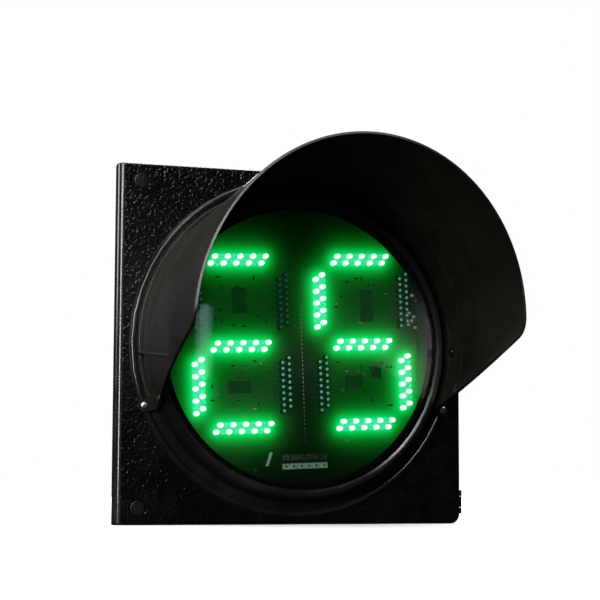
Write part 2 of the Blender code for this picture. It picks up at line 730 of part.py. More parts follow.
def make_latch(label, side, parent, mat, steel):
    """A quarter-turn latch: slotted head and shaft, with a cam behind."""
    centre = face_point(LATCH_X, 0, side * LATCH_RISE)
    profile = [(0, 0.0), (LATCH_HEAD - 0.0006, 0.0), (LATCH_HEAD, 0.0006), (LATCH_HEAD, 0.0024),
               (LATCH_SHAFT, 0.0024), (LATCH_SHAFT, CAM_FRONT - GAP), (0.0030, CAM_FRONT - GAP),
               (0.0030, CAM_FRONT + CAM_THICK), (0, CAM_FRONT + CAM_THICK)]
    latch = lathe("latch_" + label, profile, mat, centre, (0, 1, 0), steps=20)
    low = centre + Vector((-0.0009, -0.001, -0.0056))
    high = centre + Vector((0.0009, 0.0014, 0.0056))
    cut(latch, box("latch_slot_" + label, low, high, mat))
    steps = 8
    start = centre + Vector((0, CAM_FRONT, 0))
    outline = [start + Vector((0.0055 * math.cos(a), 0, side * 0.0055 * math.sin(a)))
               for a in (math.pi * i / steps for i in range(steps + 1))]
    outline += [start + Vector((-0.0035, 0, -side * CAM_LENGTH)),
                start + Vector((0.0035, 0, -side * CAM_LENGTH))]
    cam = prism("latch_cam_" + label, outline, (0, CAM_THICK, 0), steel)
    cut(cam, rod("latch_cam_hole_" + label, start + Vector((0, -0.002, 0)),
                 start + Vector((0, 0.006, 0)), 0.0033, steel, 16))
    turn = pivot("latch_axis_" + label, centre, parent)
    attach(turn, latch, cam)


# ---------------------------------------------------------------------- main
def main():
    clear_scene()
    black = material("black_plastic", (0.012, 0.012, 0.013), 0.38)
    satin = material("satin_black_plastic", (0.010, 0.010, 0.011), 0.30)
    rubber = material("seal_rubber", (0.020, 0.020, 0.020), 0.80)
    clear = material("clear_lens", (0.92, 0.95, 0.94), 0.04, alpha=0.25)
    board = material("circuit_board", (0.010, 0.085, 0.030), 0.45)
    lit = material("lit_leds", (0.05, 0.95, 0.30), 0.25)
    unlit = material("unlit_leds", (0.45, 0.62, 0.55), 0.25)
    steel = material("zinc_steel", (0.55, 0.56, 0.58), 0.35, metallic=1.0)
    core = material("transformer_core", (0.10, 0.07, 0.05), 0.55)
    grey = material("terminal_plastic", (0.55, 0.56, 0.54), 0.45)

    make_housing(black)
    make_door_seal(rubber)
    make_caps(satin, rubber)
    make_gland(satin, rubber)
    make_hinge_pins(steel)
    make_equipment(steel, grey)

    door_axis = pivot("door_axis", (HINGE_X, HINGE_Y, CENTRE_Z))
    attach(door_axis, make_door(black), *make_lens(clear, rubber), *make_clips(steel),
           *make_visor(satin, steel), *make_segments(lit, unlit),
           *make_module(satin, board, steel, core))
    make_latch("upper", 1, door_axis, satin, steel)
    make_latch("lower", -1, door_axis, satin, steel)


main()
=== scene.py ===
"""Looks of the pedestrian countdown signal head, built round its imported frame.

Metres, +Z up, front towards -Y, as in the frame.  Depths are measured from the front plane
of the door, positive towards the back, and radii from the lens axis.
"""

import random
from math import acos, asin, atan2, cos, exp, pi, radians, sin, sqrt, tan, tau

import bmesh
import bpy
from mathutils import Euler, Matrix, Vector


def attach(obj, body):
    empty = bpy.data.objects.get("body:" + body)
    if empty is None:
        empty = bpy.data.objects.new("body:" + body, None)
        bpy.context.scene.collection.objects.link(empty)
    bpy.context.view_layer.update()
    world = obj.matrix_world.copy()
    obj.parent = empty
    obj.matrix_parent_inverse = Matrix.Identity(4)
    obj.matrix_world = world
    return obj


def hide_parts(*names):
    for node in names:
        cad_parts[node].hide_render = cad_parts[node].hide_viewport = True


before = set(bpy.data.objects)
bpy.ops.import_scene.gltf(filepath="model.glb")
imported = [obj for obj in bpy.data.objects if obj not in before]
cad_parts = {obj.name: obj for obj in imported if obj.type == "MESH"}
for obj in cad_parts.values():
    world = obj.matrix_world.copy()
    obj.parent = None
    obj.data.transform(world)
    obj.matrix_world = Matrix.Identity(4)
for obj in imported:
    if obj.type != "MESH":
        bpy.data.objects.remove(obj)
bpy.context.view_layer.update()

# ------------ dimensions
CASE = 0.355  # width and height of the door
FACE_Y = -0.05  # front plane of the door
CENTRE_Z = CASE / 2
HINGE_SIDE_RADIUS, LATCH_SIDE_RADIUS = 0.01, 0.0015
WALL = 0.003
GAP = 0.0003  # clearance between pieces that touch
DOOR_DEPTH = 0.014
LIP = 0.0065  # rounded finger lip along the latch side
HOUSING_FRONT, HOUSING_STRAIGHT, HOUSING_BACK = 0.0165, 0.038, 0.092
BACK_HALF, BACK_RADIUS = 0.143, 0.02

BEAD_RADIUS, HOLE_BACK = 0.168, 0.1676  # bead, and the hole under it
SEAM_RADIUS, HOLE_DEPTH = BEAD_RADIUS + 0.004, 0.003  # where the flat face meets the bead
COLLAR_BORE, COLLAR_HEIGHT, LIP_RADIUS = 0.1482, 0.022, 0.142
LENS_RADIUS, LENS_SHOULDER, LENS_CROWN, LENS_WALL = 0.1413, 0.0235, 0.044, 0.0025
LENS_FLANGE = 0.1472

VISOR_RADIUS, VISOR_WALL, VISOR_LENGTH = 0.1584, 0.0028, 0.2023
VISOR_RIM_HEIGHT, VISOR_RIM_RAISE, VISOR_RIM_LEAN = 0.1731, 0.0042, 0.116
VISOR_LOW_EDGE = -0.068
VISOR_CORNER = 0.012  # rounding where the rim meets the lower edges
VISOR_RIDGES = (0.024, 0.055)  # beads round the inside, from the door
VISOR_RIM = 0.9935  # how far along the wall its rounded rim starts
VISOR_RIM_EDGE = ((0.00015, 0.00005), (0.0003, 0.0002), (0.0004, 0.0004), (0.00115, 0.002),
                  (0.00128, 0.00225), (0.0012, 0.0025), (0.0008, 0.0027), (0.0003, 0.00279))
FLANGE_RADIUS, FLANGE_END = 0.1624, radians(24)
EAR_RADIUS, EAR_ANGLE, EAR_TIP = 0.1686, radians(21.5), 0.0062

MODULE_TURN = radians(2.4)
BOARD_RADIUS, BOARD_FRONT, BOARD_THICK, LED_TIP = 0.1375, -0.012, 0.0016, -0.02
DIGIT_CENTRES = {"left": -0.062, "right": 0.066}
DIGIT_HALF_WIDTH, DIGIT_HALF_HEIGHT, DIGIT_RAISE, MIDDLE_DROP = 0.0443, 0.0833, 0.0032, 0.0028
LED_PITCH, UPRIGHT_PITCH, LEDS_IN_ROW = 0.0065, 0.006, 9
LED_ROW_GAP, LED_ROW_SHIFT = 0.0068, 0.0045  # between a bar's two rows, across and along
LED_RADIUS = 0.0025
LIT_SPOT, DARK_SPOT = 0.0022, 0.0015  # radius of the bright spot in an LED's dome: the core of a lit LED, a painted glow on an unlit one
SHOWN = {"left": "adeg", "right": "acdfg"}  # lit bars of the two digits
BARS = {"a": (0, 1, False), "b": (1, 0.5, True), "c": (1, -0.5, True), "d": (0, -1, False),
        "e": (-1, -0.5, True), "f": (-1, 0.5, True), "g": (0, 0, False)}    # across, up, upright
GLOWING_BARS = ("rightb", "righte", "leftc")  # unlit bars whose LEDs get a brighter painted glow, where they catch the most light

HINGE_X, HINGE_Y, KNUCKLE_RADIUS = 0.1818, -0.0348, 0.004
HINGE_LOW, KNUCKLE_SHORT, KNUCKLE_LONG, KNUCKLE_GAP = 0.01, 0.006, 0.0112, 0.0004
HINGE_LENGTH = 2 * KNUCKLE_SHORT + KNUCKLE_LONG + 2 * KNUCKLE_GAP
HINGES = {"lower": HINGE_LOW, "upper": CASE - HINGE_LOW - HINGE_LENGTH}
LATCH_X, LATCH_RISE, LATCH_HEAD, LATCH_SHAFT = -0.161, 0.161, 0.0072, 0.005
LATCHES = {"lower": -1, "upper": 1}
CAM_LENGTH, CAM_FRONT, CAM_THICK = 0.012, 0.0189, 0.0025
BORE_RADIUS, RECESS_RADIUS, RECESS_DEPTH, BOSS_RADIUS, BOSS_LENGTH = 0.023, 0.031, 0.005, 0.0332, 0.03
BOSSES = {"bottom": (0.0, 1), "top": (CASE, -1)}  # height, and the way inwards
SCREW_ANGLES = (-EAR_ANGLE, pi / 2, pi + EAR_ANGLE)
CLIP_ANGLES, CLIP_SCREW_RADIUS = [radians(45 + 90 * i) for i in range(4)], 0.158
PLATE_DEPTH, PLATE_THICK, PLATE_SCREW_X = 0.082, 0.0015, 0.078
TERMINAL_PITCH, TERMINAL_START = 0.015, -0.0375
GLAND_X, GLAND_Z = 0.095, -0.11
PAN_FLOOR, PAN_BACK = 0.027, 0.0295
CONTROL_DEPTH, CONTROL_HALF = 0.018, (0.06, 0.04)
SIDES = {"left": -1, "right": 1}
FORWARD, BACK, UP = (0, -1, 0), (0, 1, 0), (0, 0, 1)


def at(x, depth, z):
    """A point from the lens axis and the front plane of the door."""
    return Vector((x, FACE_Y + depth, CENTRE_Z + z))


def polar(radius, angle, depth):
    return at(radius * cos(angle), depth, radius * sin(angle))


def across(angle, length):
    """A step at right angles to a spoke from the lens axis."""
    return Vector((-sin(angle), 0, cos(angle))) * length


def on_board(x, z):
    """A place on the display, which sits slightly turned in the door."""
    c, s = cos(MODULE_TURN), sin(MODULE_TURN)
    return x * c - z * s, x * s + z * c


def mix(a, b, t):
    return a + (b - a) * t


def arc(radius, start, end, steps):
    """Points of an arc round the origin, its two ends included."""
    angles = (mix(start, end, i / steps) for i in range(steps + 1))
    return [(radius * cos(a), radius * sin(a)) for a in angles]


# ------------ materials
class Look:
    """A Principled material with helpers for its noise, bump and colour nodes."""

    def __init__(self, name, colour, roughness, **sockets):
        self.mat = bpy.data.materials.new(name)
        self.mat.use_nodes = True
        self.nodes, self.links = self.mat.node_tree.nodes, self.mat.node_tree.links
        self.shader = self.nodes["Principled BSDF"]
        self.set(Base_Color=colour, Roughness=roughness, **sockets)
        self.place = self.node("TexCoord", {}, "Object")
        self.normal = None

    def feed(self, socket, value):
        """Link a socket to another, or give it a plain value."""
        if isinstance(value, bpy.types.NodeSocket):
            self.links.new(value, socket)
        else:
            socket.default_value = (*value, 1) if socket.type == "RGBA" else value

    def set(self, **sockets):
        for key, value in sockets.items():
            self.feed(self.shader.inputs[key.replace("_", " ")], value)

    def node(self, kind, inputs, output=0, **settings):
        """Add a node and give back one of its outputs."""
        made = self.nodes.new("ShaderNode" + kind)
        for key, value in settings.items():
            setattr(made, key, value)
        for key, value in inputs.items():
            self.feed(made.inputs[key], value)
        return made.outputs[output]

    def noise(self, scale, detail=3.0, roughness=0.5, place=None):
        return self.node("TexNoise", {"Vector": place or self.place, "Scale": scale, "Detail": detail,
                                      "Roughness": roughness})

    def spread(self, value, low, high, start=0.3, end=0.7):
        return self.node("MapRange", {"Value": value, "From Min": start, "From Max": end,
                                      "To Min": low, "To Max": high})

    def blend(self, factor, one, two):
        return self.node("Mix", {0: factor, 6: one, 7: two}, 2, data_type="RGBA")

    def mottle(self, pattern, one, two, start=0.3, end=0.7):
        self.set(Base_Color=self.blend(self.spread(pattern, 0, 1, start, end), one, two))

    def bump(self, height, depth, strength=1.0):
        inputs = {"Height": height, "Distance": depth, "Strength": strength}
        if self.normal:
            inputs["Normal"] = self.normal
        self.normal = self.node("Bump", inputs)
        self.set(Normal=self.normal)


def moulded(name, colour, dusty, roughness, grain, depth):
    """Moulded plastic: fine grain, uneven gloss, and a little dust that has settled."""
    look = Look(name, colour, roughness)
    patches = look.noise(22, 5, 0.6)
    look.mottle(patches, colour, dusty, 0.42, 0.75)
    look.set(Roughness=look.spread(patches, roughness - 0.04, roughness + 0.08))
    look.bump(look.noise(grain, 2), depth)
    return look


def pebbled(name, colour, dusty):
    """Glossy black plastic with a coarse pebble grain."""
    look = Look(name, colour, 0.2, Specular_IOR_Level=0.17)
    patches = look.noise(30, 4, 0.6)
    look.mottle(patches, colour, dusty, 0.45, 0.8)
    look.set(Roughness=look.spread(patches, 0.14, 0.22))
    look.bump(look.noise(330, 1.0), 0.0012)
    look.bump(look.noise(800, 1.0), 0.00008, 0.6)
    return look


def metal(name, colour, roughness, brush=(900, 900, 90)):
    """Plated or drawn metal: brushed along one axis, with duller spots."""
    look = Look(name, colour, roughness, Metallic=1.0)
    brushed = look.noise(1.0, 3, 0.6, look.node("Mapping", {"Vector": look.place, "Scale": brush}))
    look.mottle(look.noise(180, 4, 0.6), colour, [c * 0.72 for c in colour], 0.45, 0.75)
    look.set(Roughness=look.spread(brushed, roughness - 0.06, roughness + 0.12))
    look.bump(brushed, 0.00004, 0.6)
    return look


def rubber(name, colour, dusty):
    look = Look(name, colour, 0.75, Sheen_Weight=0.15)
    look.mottle(look.noise(70, 5, 0.65), colour, dusty, 0.5, 0.8)
    look.bump(look.noise(900, 2), 0.00005)
    return look


def clear_plastic(name):
    """The lens: thin clear plastic that lets light through and keeps its gloss."""
    look = Look(name, (1, 1, 1), 0.05)
    waves = look.noise(35, 2)
    ripple = look.node("Bump", {"Height": waves, "Distance": 0.0002, "Strength": 0.4})
    glossy = look.node("BsdfGlossy", {"Color": (1, 1, 1), "Roughness": look.spread(waves, 0.03, 0.07),
                                      "Normal": ripple})
    through = look.node("BsdfTransparent", {"Color": (0.95, 0.98, 0.965)})
    both = look.node("MixShader", {0: look.node("Fresnel", {"IOR": 1.5}), 1: through, 2: glossy})
    look.links.new(both, look.nodes["Material Output"].inputs["Surface"])
    look.nodes.remove(look.shader)
    return look


def solder_mask(name, glow):
    """A green board: tracks and pads under gloss, and, when glow is set, a painted glow in place of the
    light that falls on it from the LEDs.
    """
    look = Look(name, (0.002, 0.014, 0.005), 0.35)
    turned = look.node("Mapping", {"Vector": look.place, "Rotation": (pi / 2, 0, 0)})
    tracks = look.node("TexBrick", {"Vector": turned, "Scale": 60.0, "Mortar Size": 0.012,
                                    "Brick Width": 0.9, "Row Height": 0.22, "Color1": (1, 1, 1),
                                    "Color2": (1, 1, 1), "Mortar": (0, 0, 0)}, "Fac")
    blotch = look.noise(45, 4, 0.6)
    field = look.blend(look.spread(blotch, 0, 1), (0.0015, 0.011, 0.004), (0.003, 0.018, 0.007))
    look.set(Base_Color=look.blend(tracks, field, (0.004, 0.028, 0.011)),
             Roughness=look.spread(blotch, 0.28, 0.45))
    look.bump(tracks, 0.00004)
    if glow:
        # painted glow: emission colour and strength follow the per-point halo value, brightest and palest
        # at the bars
        halo = look.node("Attribute", {}, "Fac", attribute_name="halo")
        green = look.blend(look.spread(halo, 0, 1, 0, 1), (0.0, 1.0, 0.03), (0.0, 1.0, 0.2))
        look.set(Emission_Color=look.blend(look.spread(halo, 0, 1, 1.0, 1.7), green, (0.34, 1.0, 0.74)),
                 Emission_Strength=look.spread(halo, 0, 0.85, 0, 1))
    return look


def lit_led(name, core, edge_colour, low, high):
    """A lit LED: its colour turns from the core's to the edge's as it faces away."""
    look = Look(name, (0.02, 0.3, 0.15), 0.25)
    edge = look.spread(look.node("LayerWeight", {"Blend": 0.4}, "Facing"), 0, 1, 0.25, 0.85)
    look.set(Emission_Color=look.blend(edge, core, edge_colour),
             Emission_Strength=look.spread(look.noise(900, 1), low, high))
    return look


def dark_led(name, colour, glow, strength):
    """A clear LED that is off, with a painted glow in place of the light it passes on from its
    neighbours.
    """
    look = Look(name, colour, 0.2, Emission_Color=glow)
    spots = look.noise(500, 2)
    look.mottle(spots, colour, [min(1, c * 1.5) for c in colour])
    look.set(Roughness=look.spread(spots, 0.12, 0.26),
             Emission_Strength=look.spread(spots, strength * 0.7, strength * 1.3))
    return look


def layered(name, low, high, scale, wobble, depth, metallic):
    """Thin level layers: a winding's turns of wire, or a core's sheets."""
    look = Look(name, low, 0.35, Metallic=metallic)
    layers = look.node("TexWave", {"Vector": look.place, "Scale": scale, "Distortion": wobble}, "Fac",
                       bands_direction="Z")
    look.set(Base_Color=look.blend(layers, low, high))
    if metallic:
        look.set(Roughness=look.spread(look.noise(150), 0.3, 0.55))
    look.bump(layers, depth)
    return look


LOOKS = {
    "housing": (moulded, (0.008, 0.008, 0.0085), (0.02, 0.019, 0.018), 0.42, 900, 0.00012),
    "smooth": (moulded, (0.005, 0.005, 0.0055), (0.011, 0.011, 0.011), 0.17, 1500, 0.00002),
    "visor": (moulded, (0.005, 0.004, 0.0027), (0.01, 0.008, 0.0055), 0.31, 1200, 0.00003),
    "latch": (moulded, (0.005, 0.005, 0.0055), (0.011, 0.011, 0.011), 0.2, 1200, 0.00003),
    "cap": (moulded, (0.01, 0.01, 0.011), (0.024, 0.023, 0.022), 0.4, 900, 0.0001),
    "gland": (moulded, (0.012, 0.012, 0.013), (0.03, 0.03, 0.03), 0.36, 1000, 0.00006),
    "module": (moulded, (0.012, 0.012, 0.013), (0.03, 0.03, 0.03), 0.45, 800, 0.00012),
    "chip": (moulded, (0.006, 0.006, 0.0065), (0.02, 0.02, 0.02), 0.5, 2000, 0.00003),
    "white": (moulded, (0.5, 0.52, 0.48), (0.38, 0.39, 0.36), 0.4, 1200, 0.00003),
    "grey": (moulded, (0.45, 0.46, 0.44), (0.36, 0.36, 0.34), 0.4, 1200, 0.00004),
    "face": (pebbled, (0.0015, 0.0015, 0.0017), (0.005, 0.0048, 0.0045)),
    "rubber": (rubber, (0.018, 0.018, 0.018), (0.05, 0.048, 0.045)),
    "lens": (clear_plastic,),
    "board": (solder_mask, True),
    "control": (solder_mask, False),
    "lit": (lit_led, (0.8, 1.0, 0.96), (0.6, 1.0, 0.88), 1.3, 1.7),
    "lit_body": (lit_led, (0.8, 1.0, 0.94), (0.55, 1.0, 0.85), 1.0, 1.2),
    # painted glow: off LEDs emit green light in place of their lit neighbours' light, most in lit bars
    "spill": (dark_led, (0.02, 0.2, 0.1), (0.05, 1.0, 0.42), 0.88),
    "pale": (dark_led, (0.06, 0.16, 0.12), (0.38, 1.0, 0.72), 0.26),
    "dark": (dark_led, (0.02, 0.06, 0.05), (0.12, 1.0, 0.55), 0.06),
    "clear_led": (dark_led, (0.004, 0.018, 0.012), (0.05, 1.0, 0.35), 0.018),
    # the next two: print and chips with a faint painted glow of the LEDs' green light
    "ink": (dark_led, (0.5, 0.54, 0.5), (0.6, 1.0, 0.75), 0.13),
    "lit_chip": (dark_led, (0.005, 0.016, 0.009), (0.02, 1.0, 0.12), 0.03),
    "zinc": (metal, (0.55, 0.56, 0.58), 0.3),
    "stainless": (metal, (0.6, 0.6, 0.61), 0.24, (90, 900, 900)),
    "brass": (metal, (0.62, 0.56, 0.42), 0.24, (900, 90, 900)),
    "black_screw": (metal, (0.045, 0.043, 0.042), 0.34),
    "silver": (metal, (0.5, 0.51, 0.52), 0.35),
    "core": (layered, (0.05, 0.045, 0.04), (0.16, 0.15, 0.14), 500.0, 0.2, 0.0001, 0.7),
    "copper": (layered, (0.2, 0.07, 0.02), (0.42, 0.2, 0.06), 260.0, 0.6, 0.0002, 0.0),
}
looks = {name: maker(name, *values).mat for name, (maker, *values) in LOOKS.items()}


# ------------ shapes
def fillet(points, radius, steps=4):
    """Round the corners of an open polyline of 2-D points.  radius: one, or one each."""
    radii = radius if isinstance(radius, (list, tuple)) else [radius] * len(points)
    out = [Vector(points[0])]
    for before, corner, after, r in zip(points, points[1:], points[2:], radii[1:]):
        corner = Vector(corner)
        back = Vector(before) - corner
        on = Vector(after) - corner
        half = back.angle(on) / 2
        reach = min(r / tan(half), back.length * 0.45, on.length * 0.45)
        if reach < 1e-6:
            out.append(corner)
            continue
        middle = (back.normalized() + on.normalized()).normalized()
        centre = corner + middle * (reach * tan(half) / sin(half))
        start = corner + back.normalized() * reach - centre
        sweep = start.angle_signed(corner + on.normalized() * reach - centre)
        for i in range(steps + 1):
            c, s = cos(-sweep * i / steps), sin(-sweep * i / steps)
            out.append(centre + Vector((start.x * c - start.y * s, start.x * s + start.y * c)))
    return out + [Vector(points[-1])]


def closed_section(corners, edge):
    """A closed section with its corners rounded, from the middle of its last side."""
    start = (Vector(corners[0]) + Vector(corners[-1])) / 2
    return fillet([start, *corners, start], edge, 3)[:-1]


def spokes(axis, steps):
    """The unit axis, and (angle, direction) pairs round it."""
    axis = Vector(axis).normalized()
    side = axis.orthogonal().normalized()
    up = axis.cross(side)
    return axis, [(a, side * cos(a) + up * sin(a)) for a in (tau * i / steps for i in range(steps))]


class Shape:
    """A mesh in the making, to which forms are added; adding one gives back the shape."""

    def __init__(self):
        self.bm = bmesh.new()

    def face(self, corners, material):
        self.bm.faces.new(corners).material_index = material

    def skin(self, rings, closed=False, material=0, ends=False):
        """Faces between rings of equal length: closed joins the last ring to the first, and
        ends closes both.  It gives back the rings' vertices."""
        made = [[self.bm.verts.new(p) for p in ring] for ring in rings]
        for one, two in zip(made, made[1:] + made[:1] if closed else made[1:]):
            for i in range(len(one)):
                self.face((one[i - 1], one[i], two[i], two[i - 1]), material)
        if ends:
            self.face(made[0], material)
            self.face(made[-1], material)
        return made

    def push(self, outline, direction, material=0):
        """A prism: a flat outline of 3-D points pushed along a direction."""
        low = [self.bm.verts.new(p) for p in outline]
        high = [self.bm.verts.new(Vector(p) + Vector(direction)) for p in outline]
        self.face(low, material)
        self.face(high[::-1], material)
        for i in range(len(low)):
            self.face((low[i - 1], low[i], high[i], high[i - 1]), material)
        return self

    def block(self, low, high, material=0):
        (x0, y0, z0), (x1, y1, z1) = low, high
        base = [(x0, y0, z0), (x1, y0, z0), (x1, y0, z1), (x0, y0, z1)]
        return self.push(base, (0, y1 - y0, 0), material)

    def chip(self, x, z, width, height, seat, tall, material=0):
        """A block on the turned display, by its middle and size, standing forward of a seat."""
        corners = [on_board(x + sx * width / 2, z + sz * height / 2)
                   for sx, sz in ((-1, -1), (1, -1), (1, 1), (-1, 1))]
        return self.push([at(u, seat - tall, v) for u, v in corners], (0, tall, 0), material)

    def turn(self, profile, centre, axis, steps=96, material=0):
        """Turn (radius, along) pairs about an axis; ends on the axis are closed by fans."""
        axis, rim = spokes(axis, steps)
        centre = Vector(centre)
        body = [p for p in profile if p[0] > 1e-7]
        made = self.skin([[centre + axis * along + way * radius for _, way in rim]
                          for radius, along in body], len(body) == len(profile), material)
        for (radius, along), ring in ((profile[0], made[0]), (profile[-1], made[-1])):
            if radius <= 1e-7:
                tip = self.bm.verts.new(centre + axis * along)
                for i in range(steps):
                    self.face((ring[i - 1], ring[i], tip), material)
        return self

    def turn_lens(self, profile, steps=160):
        return self.turn(profile, at(0, 0, 0), BACK, steps)

    def turn_flats(self, profile, centre, axis, sides, steps=60):
        """Turn (radius, along, flat) points into a ring; flat 0 is round, 1 has flat sides."""
        axis, rim = spokes(axis, steps)
        wedge = tau / sides
        rings = []
        for radius, along, flat in profile:
            middle = Vector(centre) + axis * along
            rings.append([])
            for a, way in rim:
                near = cos(wedge / 2) / cos(a % wedge - wedge / 2)
                rings[-1].append(middle + way * (radius * (1 + flat * (near - 1))))
        self.skin(rings, closed=True)
        return self

    def ring(self, corners, centre, axis, edge, steps=96):
        """Turn a section that stands clear of the axis, with its corners rounded."""
        return self.turn(closed_section(corners, edge), centre, axis, steps)

    def rod(self, start, end, radius, steps=24, material=0, edge=0.0003):
        """A cylinder with slightly rounded ends."""
        axis = Vector(end) - Vector(start)
        profile = fillet([(0, 0), (radius, 0), (radius, axis.length), (0, axis.length)], edge, 3)
        return self.turn(profile, start, axis, steps, material)

    def mesh(self, materials=(), angle=40):
        bmesh.ops.remove_doubles(self.bm, verts=self.bm.verts, dist=1e-7)
        bmesh.ops.recalc_face_normals(self.bm, faces=self.bm.faces)
        mesh = bpy.data.meshes.new("shape")
        self.bm.to_mesh(mesh)
        self.bm.free()
        for material in materials:
            mesh.materials.append(looks[material])
        return shaded(mesh, angle)


def shaded(mesh, angle):
    """Smooth shading, with sharp edges where faces meet at more than an angle."""
    mesh.shade_smooth()
    mesh.set_sharp_from_angle(angle=radians(angle))
    return mesh


def add(name, data):
    """Put an object in the scene."""
    obj = bpy.data.objects.new(name, data)
    bpy.context.scene.collection.objects.link(obj)
    return obj


def carve(mesh, cuts, joins=()):
    """Join closed shapes to a mesh, and cut others out of it, for good."""
    target = add("carved", mesh)
    tools = []
    for way, shapes in (("UNION", joins), ("DIFFERENCE", cuts)):
        for shape in shapes:
            tools.append(add("tool_%d" % len(tools), shape.mesh()))
            step = target.modifiers.new(tools[-1].name, "BOOLEAN")
            step.operation = way
            step.solver = "EXACT"
            step.material_mode = "INDEX"
            step.object = tools[-1]
    bpy.context.view_layer.update()
    graph = bpy.context.evaluated_depsgraph_get()
    result = bpy.data.meshes.new_from_object(target.evaluated_get(graph))
    for obj in tools + [target]:
        bpy.data.objects.remove(obj)
    return shaded(result, 35)


def piece(name, shape, materials, body, slot, *nodes, cuts=(), joins=(), angle=40, place=None):
    """Show a shape, or a finished mesh, as a piece that rides on a body and stands for nodes."""
    mesh = shape.mesh(materials.split(), angle) if materials else shape
    obj = add(name, carve(mesh, cuts, joins) if cuts or joins else mesh)
    if place:
        obj.matrix_world = place
    if nodes:
        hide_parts(*nodes)
    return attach(obj, body)


def rounded(obj, width, segments=2):
    """Bevel the sharp edges of a piece."""
    bevel = obj.modifiers.new("edges", "BEVEL")
    bevel.width = width
    bevel.segments = segments
    bevel.limit_method = "ANGLE"
    bevel.angle_limit = radians(40)
    bevel.use_clamp_overlap = True
    bevel.harden_normals = False


# ------------ outlines
def case_radii(inset=0.0):
    big, small = (max(radius - inset, 0.0008) for radius in (HINGE_SIDE_RADIUS, LATCH_SIDE_RADIUS))
    return (big, small, small, big)


def corner_arcs(half_width, half_height, radii, steps):
    """The four rounded corners of a rectangle, as lists of (x, z)."""
    arcs = []
    for turn, ((sx, sz), radius) in enumerate(zip(((1, 1), (-1, 1), (-1, -1), (1, -1)), radii)):
        x, z = sx * (half_width - radius), sz * (half_height - radius)
        arcs.append([(x + u, z + v) for u, v in arc(radius, pi / 2 * turn, pi / 2 * (turn + 1), steps)])
    return arcs


def rounded_square(half, radii, depth, side=12):
    """Square outline with the same number of points whatever its size."""
    arcs = corner_arcs(half, half, radii, 10)
    points = []
    for corner, following in zip(arcs, arcs[1:] + arcs[:1]):
        (x0, z0), (x1, z1) = corner[-1], following[0]
        points += corner + [(mix(x0, x1, i / side), mix(z0, z1, i / side)) for i in range(1, side)]
    return [at(x, depth, z) for x, z in points]


def rounded_rectangle(width, height, radius, depth):
    arcs = corner_arcs(width / 2, height / 2, (radius,) * 4, 6)
    return [at(x, depth, z) for corner in arcs for x, z in corner]


def matched_circle(radius, outline, depth):
    """A circle with one point for each point of an outline, in the same direction."""
    return [polar(radius, atan2(p.z - CENTRE_Z, p.x), depth) for p in outline]


# ------------ the door
def collar_section():
    """Bead, groove, visor seat, collar and lip, from the outside inwards."""
    bead = [(BEAD_RADIUS + 0.0034 * cos(a), 0.0005 - 0.0037 * sin(a))
            for a in (radians(8 + 172 * i / 16) for i in range(17))]
    front = fillet([(0.164, 0.0006), (0.1632, 0.0009), (0.1622, 0.0), (0.1552, 0.0), (0.153, -0.018),
                    (0.15, -COLLAR_HEIGHT), (0.1464, -COLLAR_HEIGHT), (0.1438, -0.0208),
                    (LIP_RADIUS, -0.019), (COLLAR_BORE, -0.019)],
                   [0, 0.0004, 0.0004, 0.0012, 0.004, 0.0014, 0.0006, 0.0006, 0.0005, 0], 5)
    return bead + front + [(COLLAR_BORE, HOLE_DEPTH), (HOLE_BACK, HOLE_DEPTH)]


def knuckle(shape, low, length, way):
    """A hinge barrel with a web back (1) or forward (-1) to its wall."""
    barrel = [Vector((HINGE_X + x, HINGE_Y + way * y, low))
              for x, y in arc(KNUCKLE_RADIUS, pi, radians(410), 28)]
    wall = [Vector((CASE / 2 - 0.0012, HINGE_Y + way * y, low)) for y in (0.0098, 0.0018)]
    shape.push(barrel + wall, (0, 0, length))


def door_ring(inset, depth, lipped=True):
    """An outline of the door; its latch side moves out with the lip."""
    ring = rounded_square(CASE / 2 - inset, case_radii(inset), depth)
    out = sqrt(LIP ** 2 - max(LIP - depth, 0) ** 2) + inset if lipped else 0
    return [p - Vector((out, 0, 0)) if p.x < 0 else p for p in ring]


def door_rings():
    """Rings of the door's face and skirt, from the skirt's inside round to the front."""
    edge, small = 0.0012, 0.0004
    rings = [door_ring(WALL, WALL, False),
             door_ring(WALL, DOOR_DEPTH - small, False),
             door_ring(WALL - small, DOOR_DEPTH, False),
             [p + Vector((small if p.x < 0 else 0, 0, 0)) for p in door_ring(small, DOOR_DEPTH)],
             door_ring(0, DOOR_DEPTH - small)]
    for i in range(13):
        depth = LIP * (1 - sin(pi / 2 * i / 12))
        rings.append(door_ring(edge - sqrt(edge ** 2 - max(edge - depth, 0) ** 2), depth))
    return rings


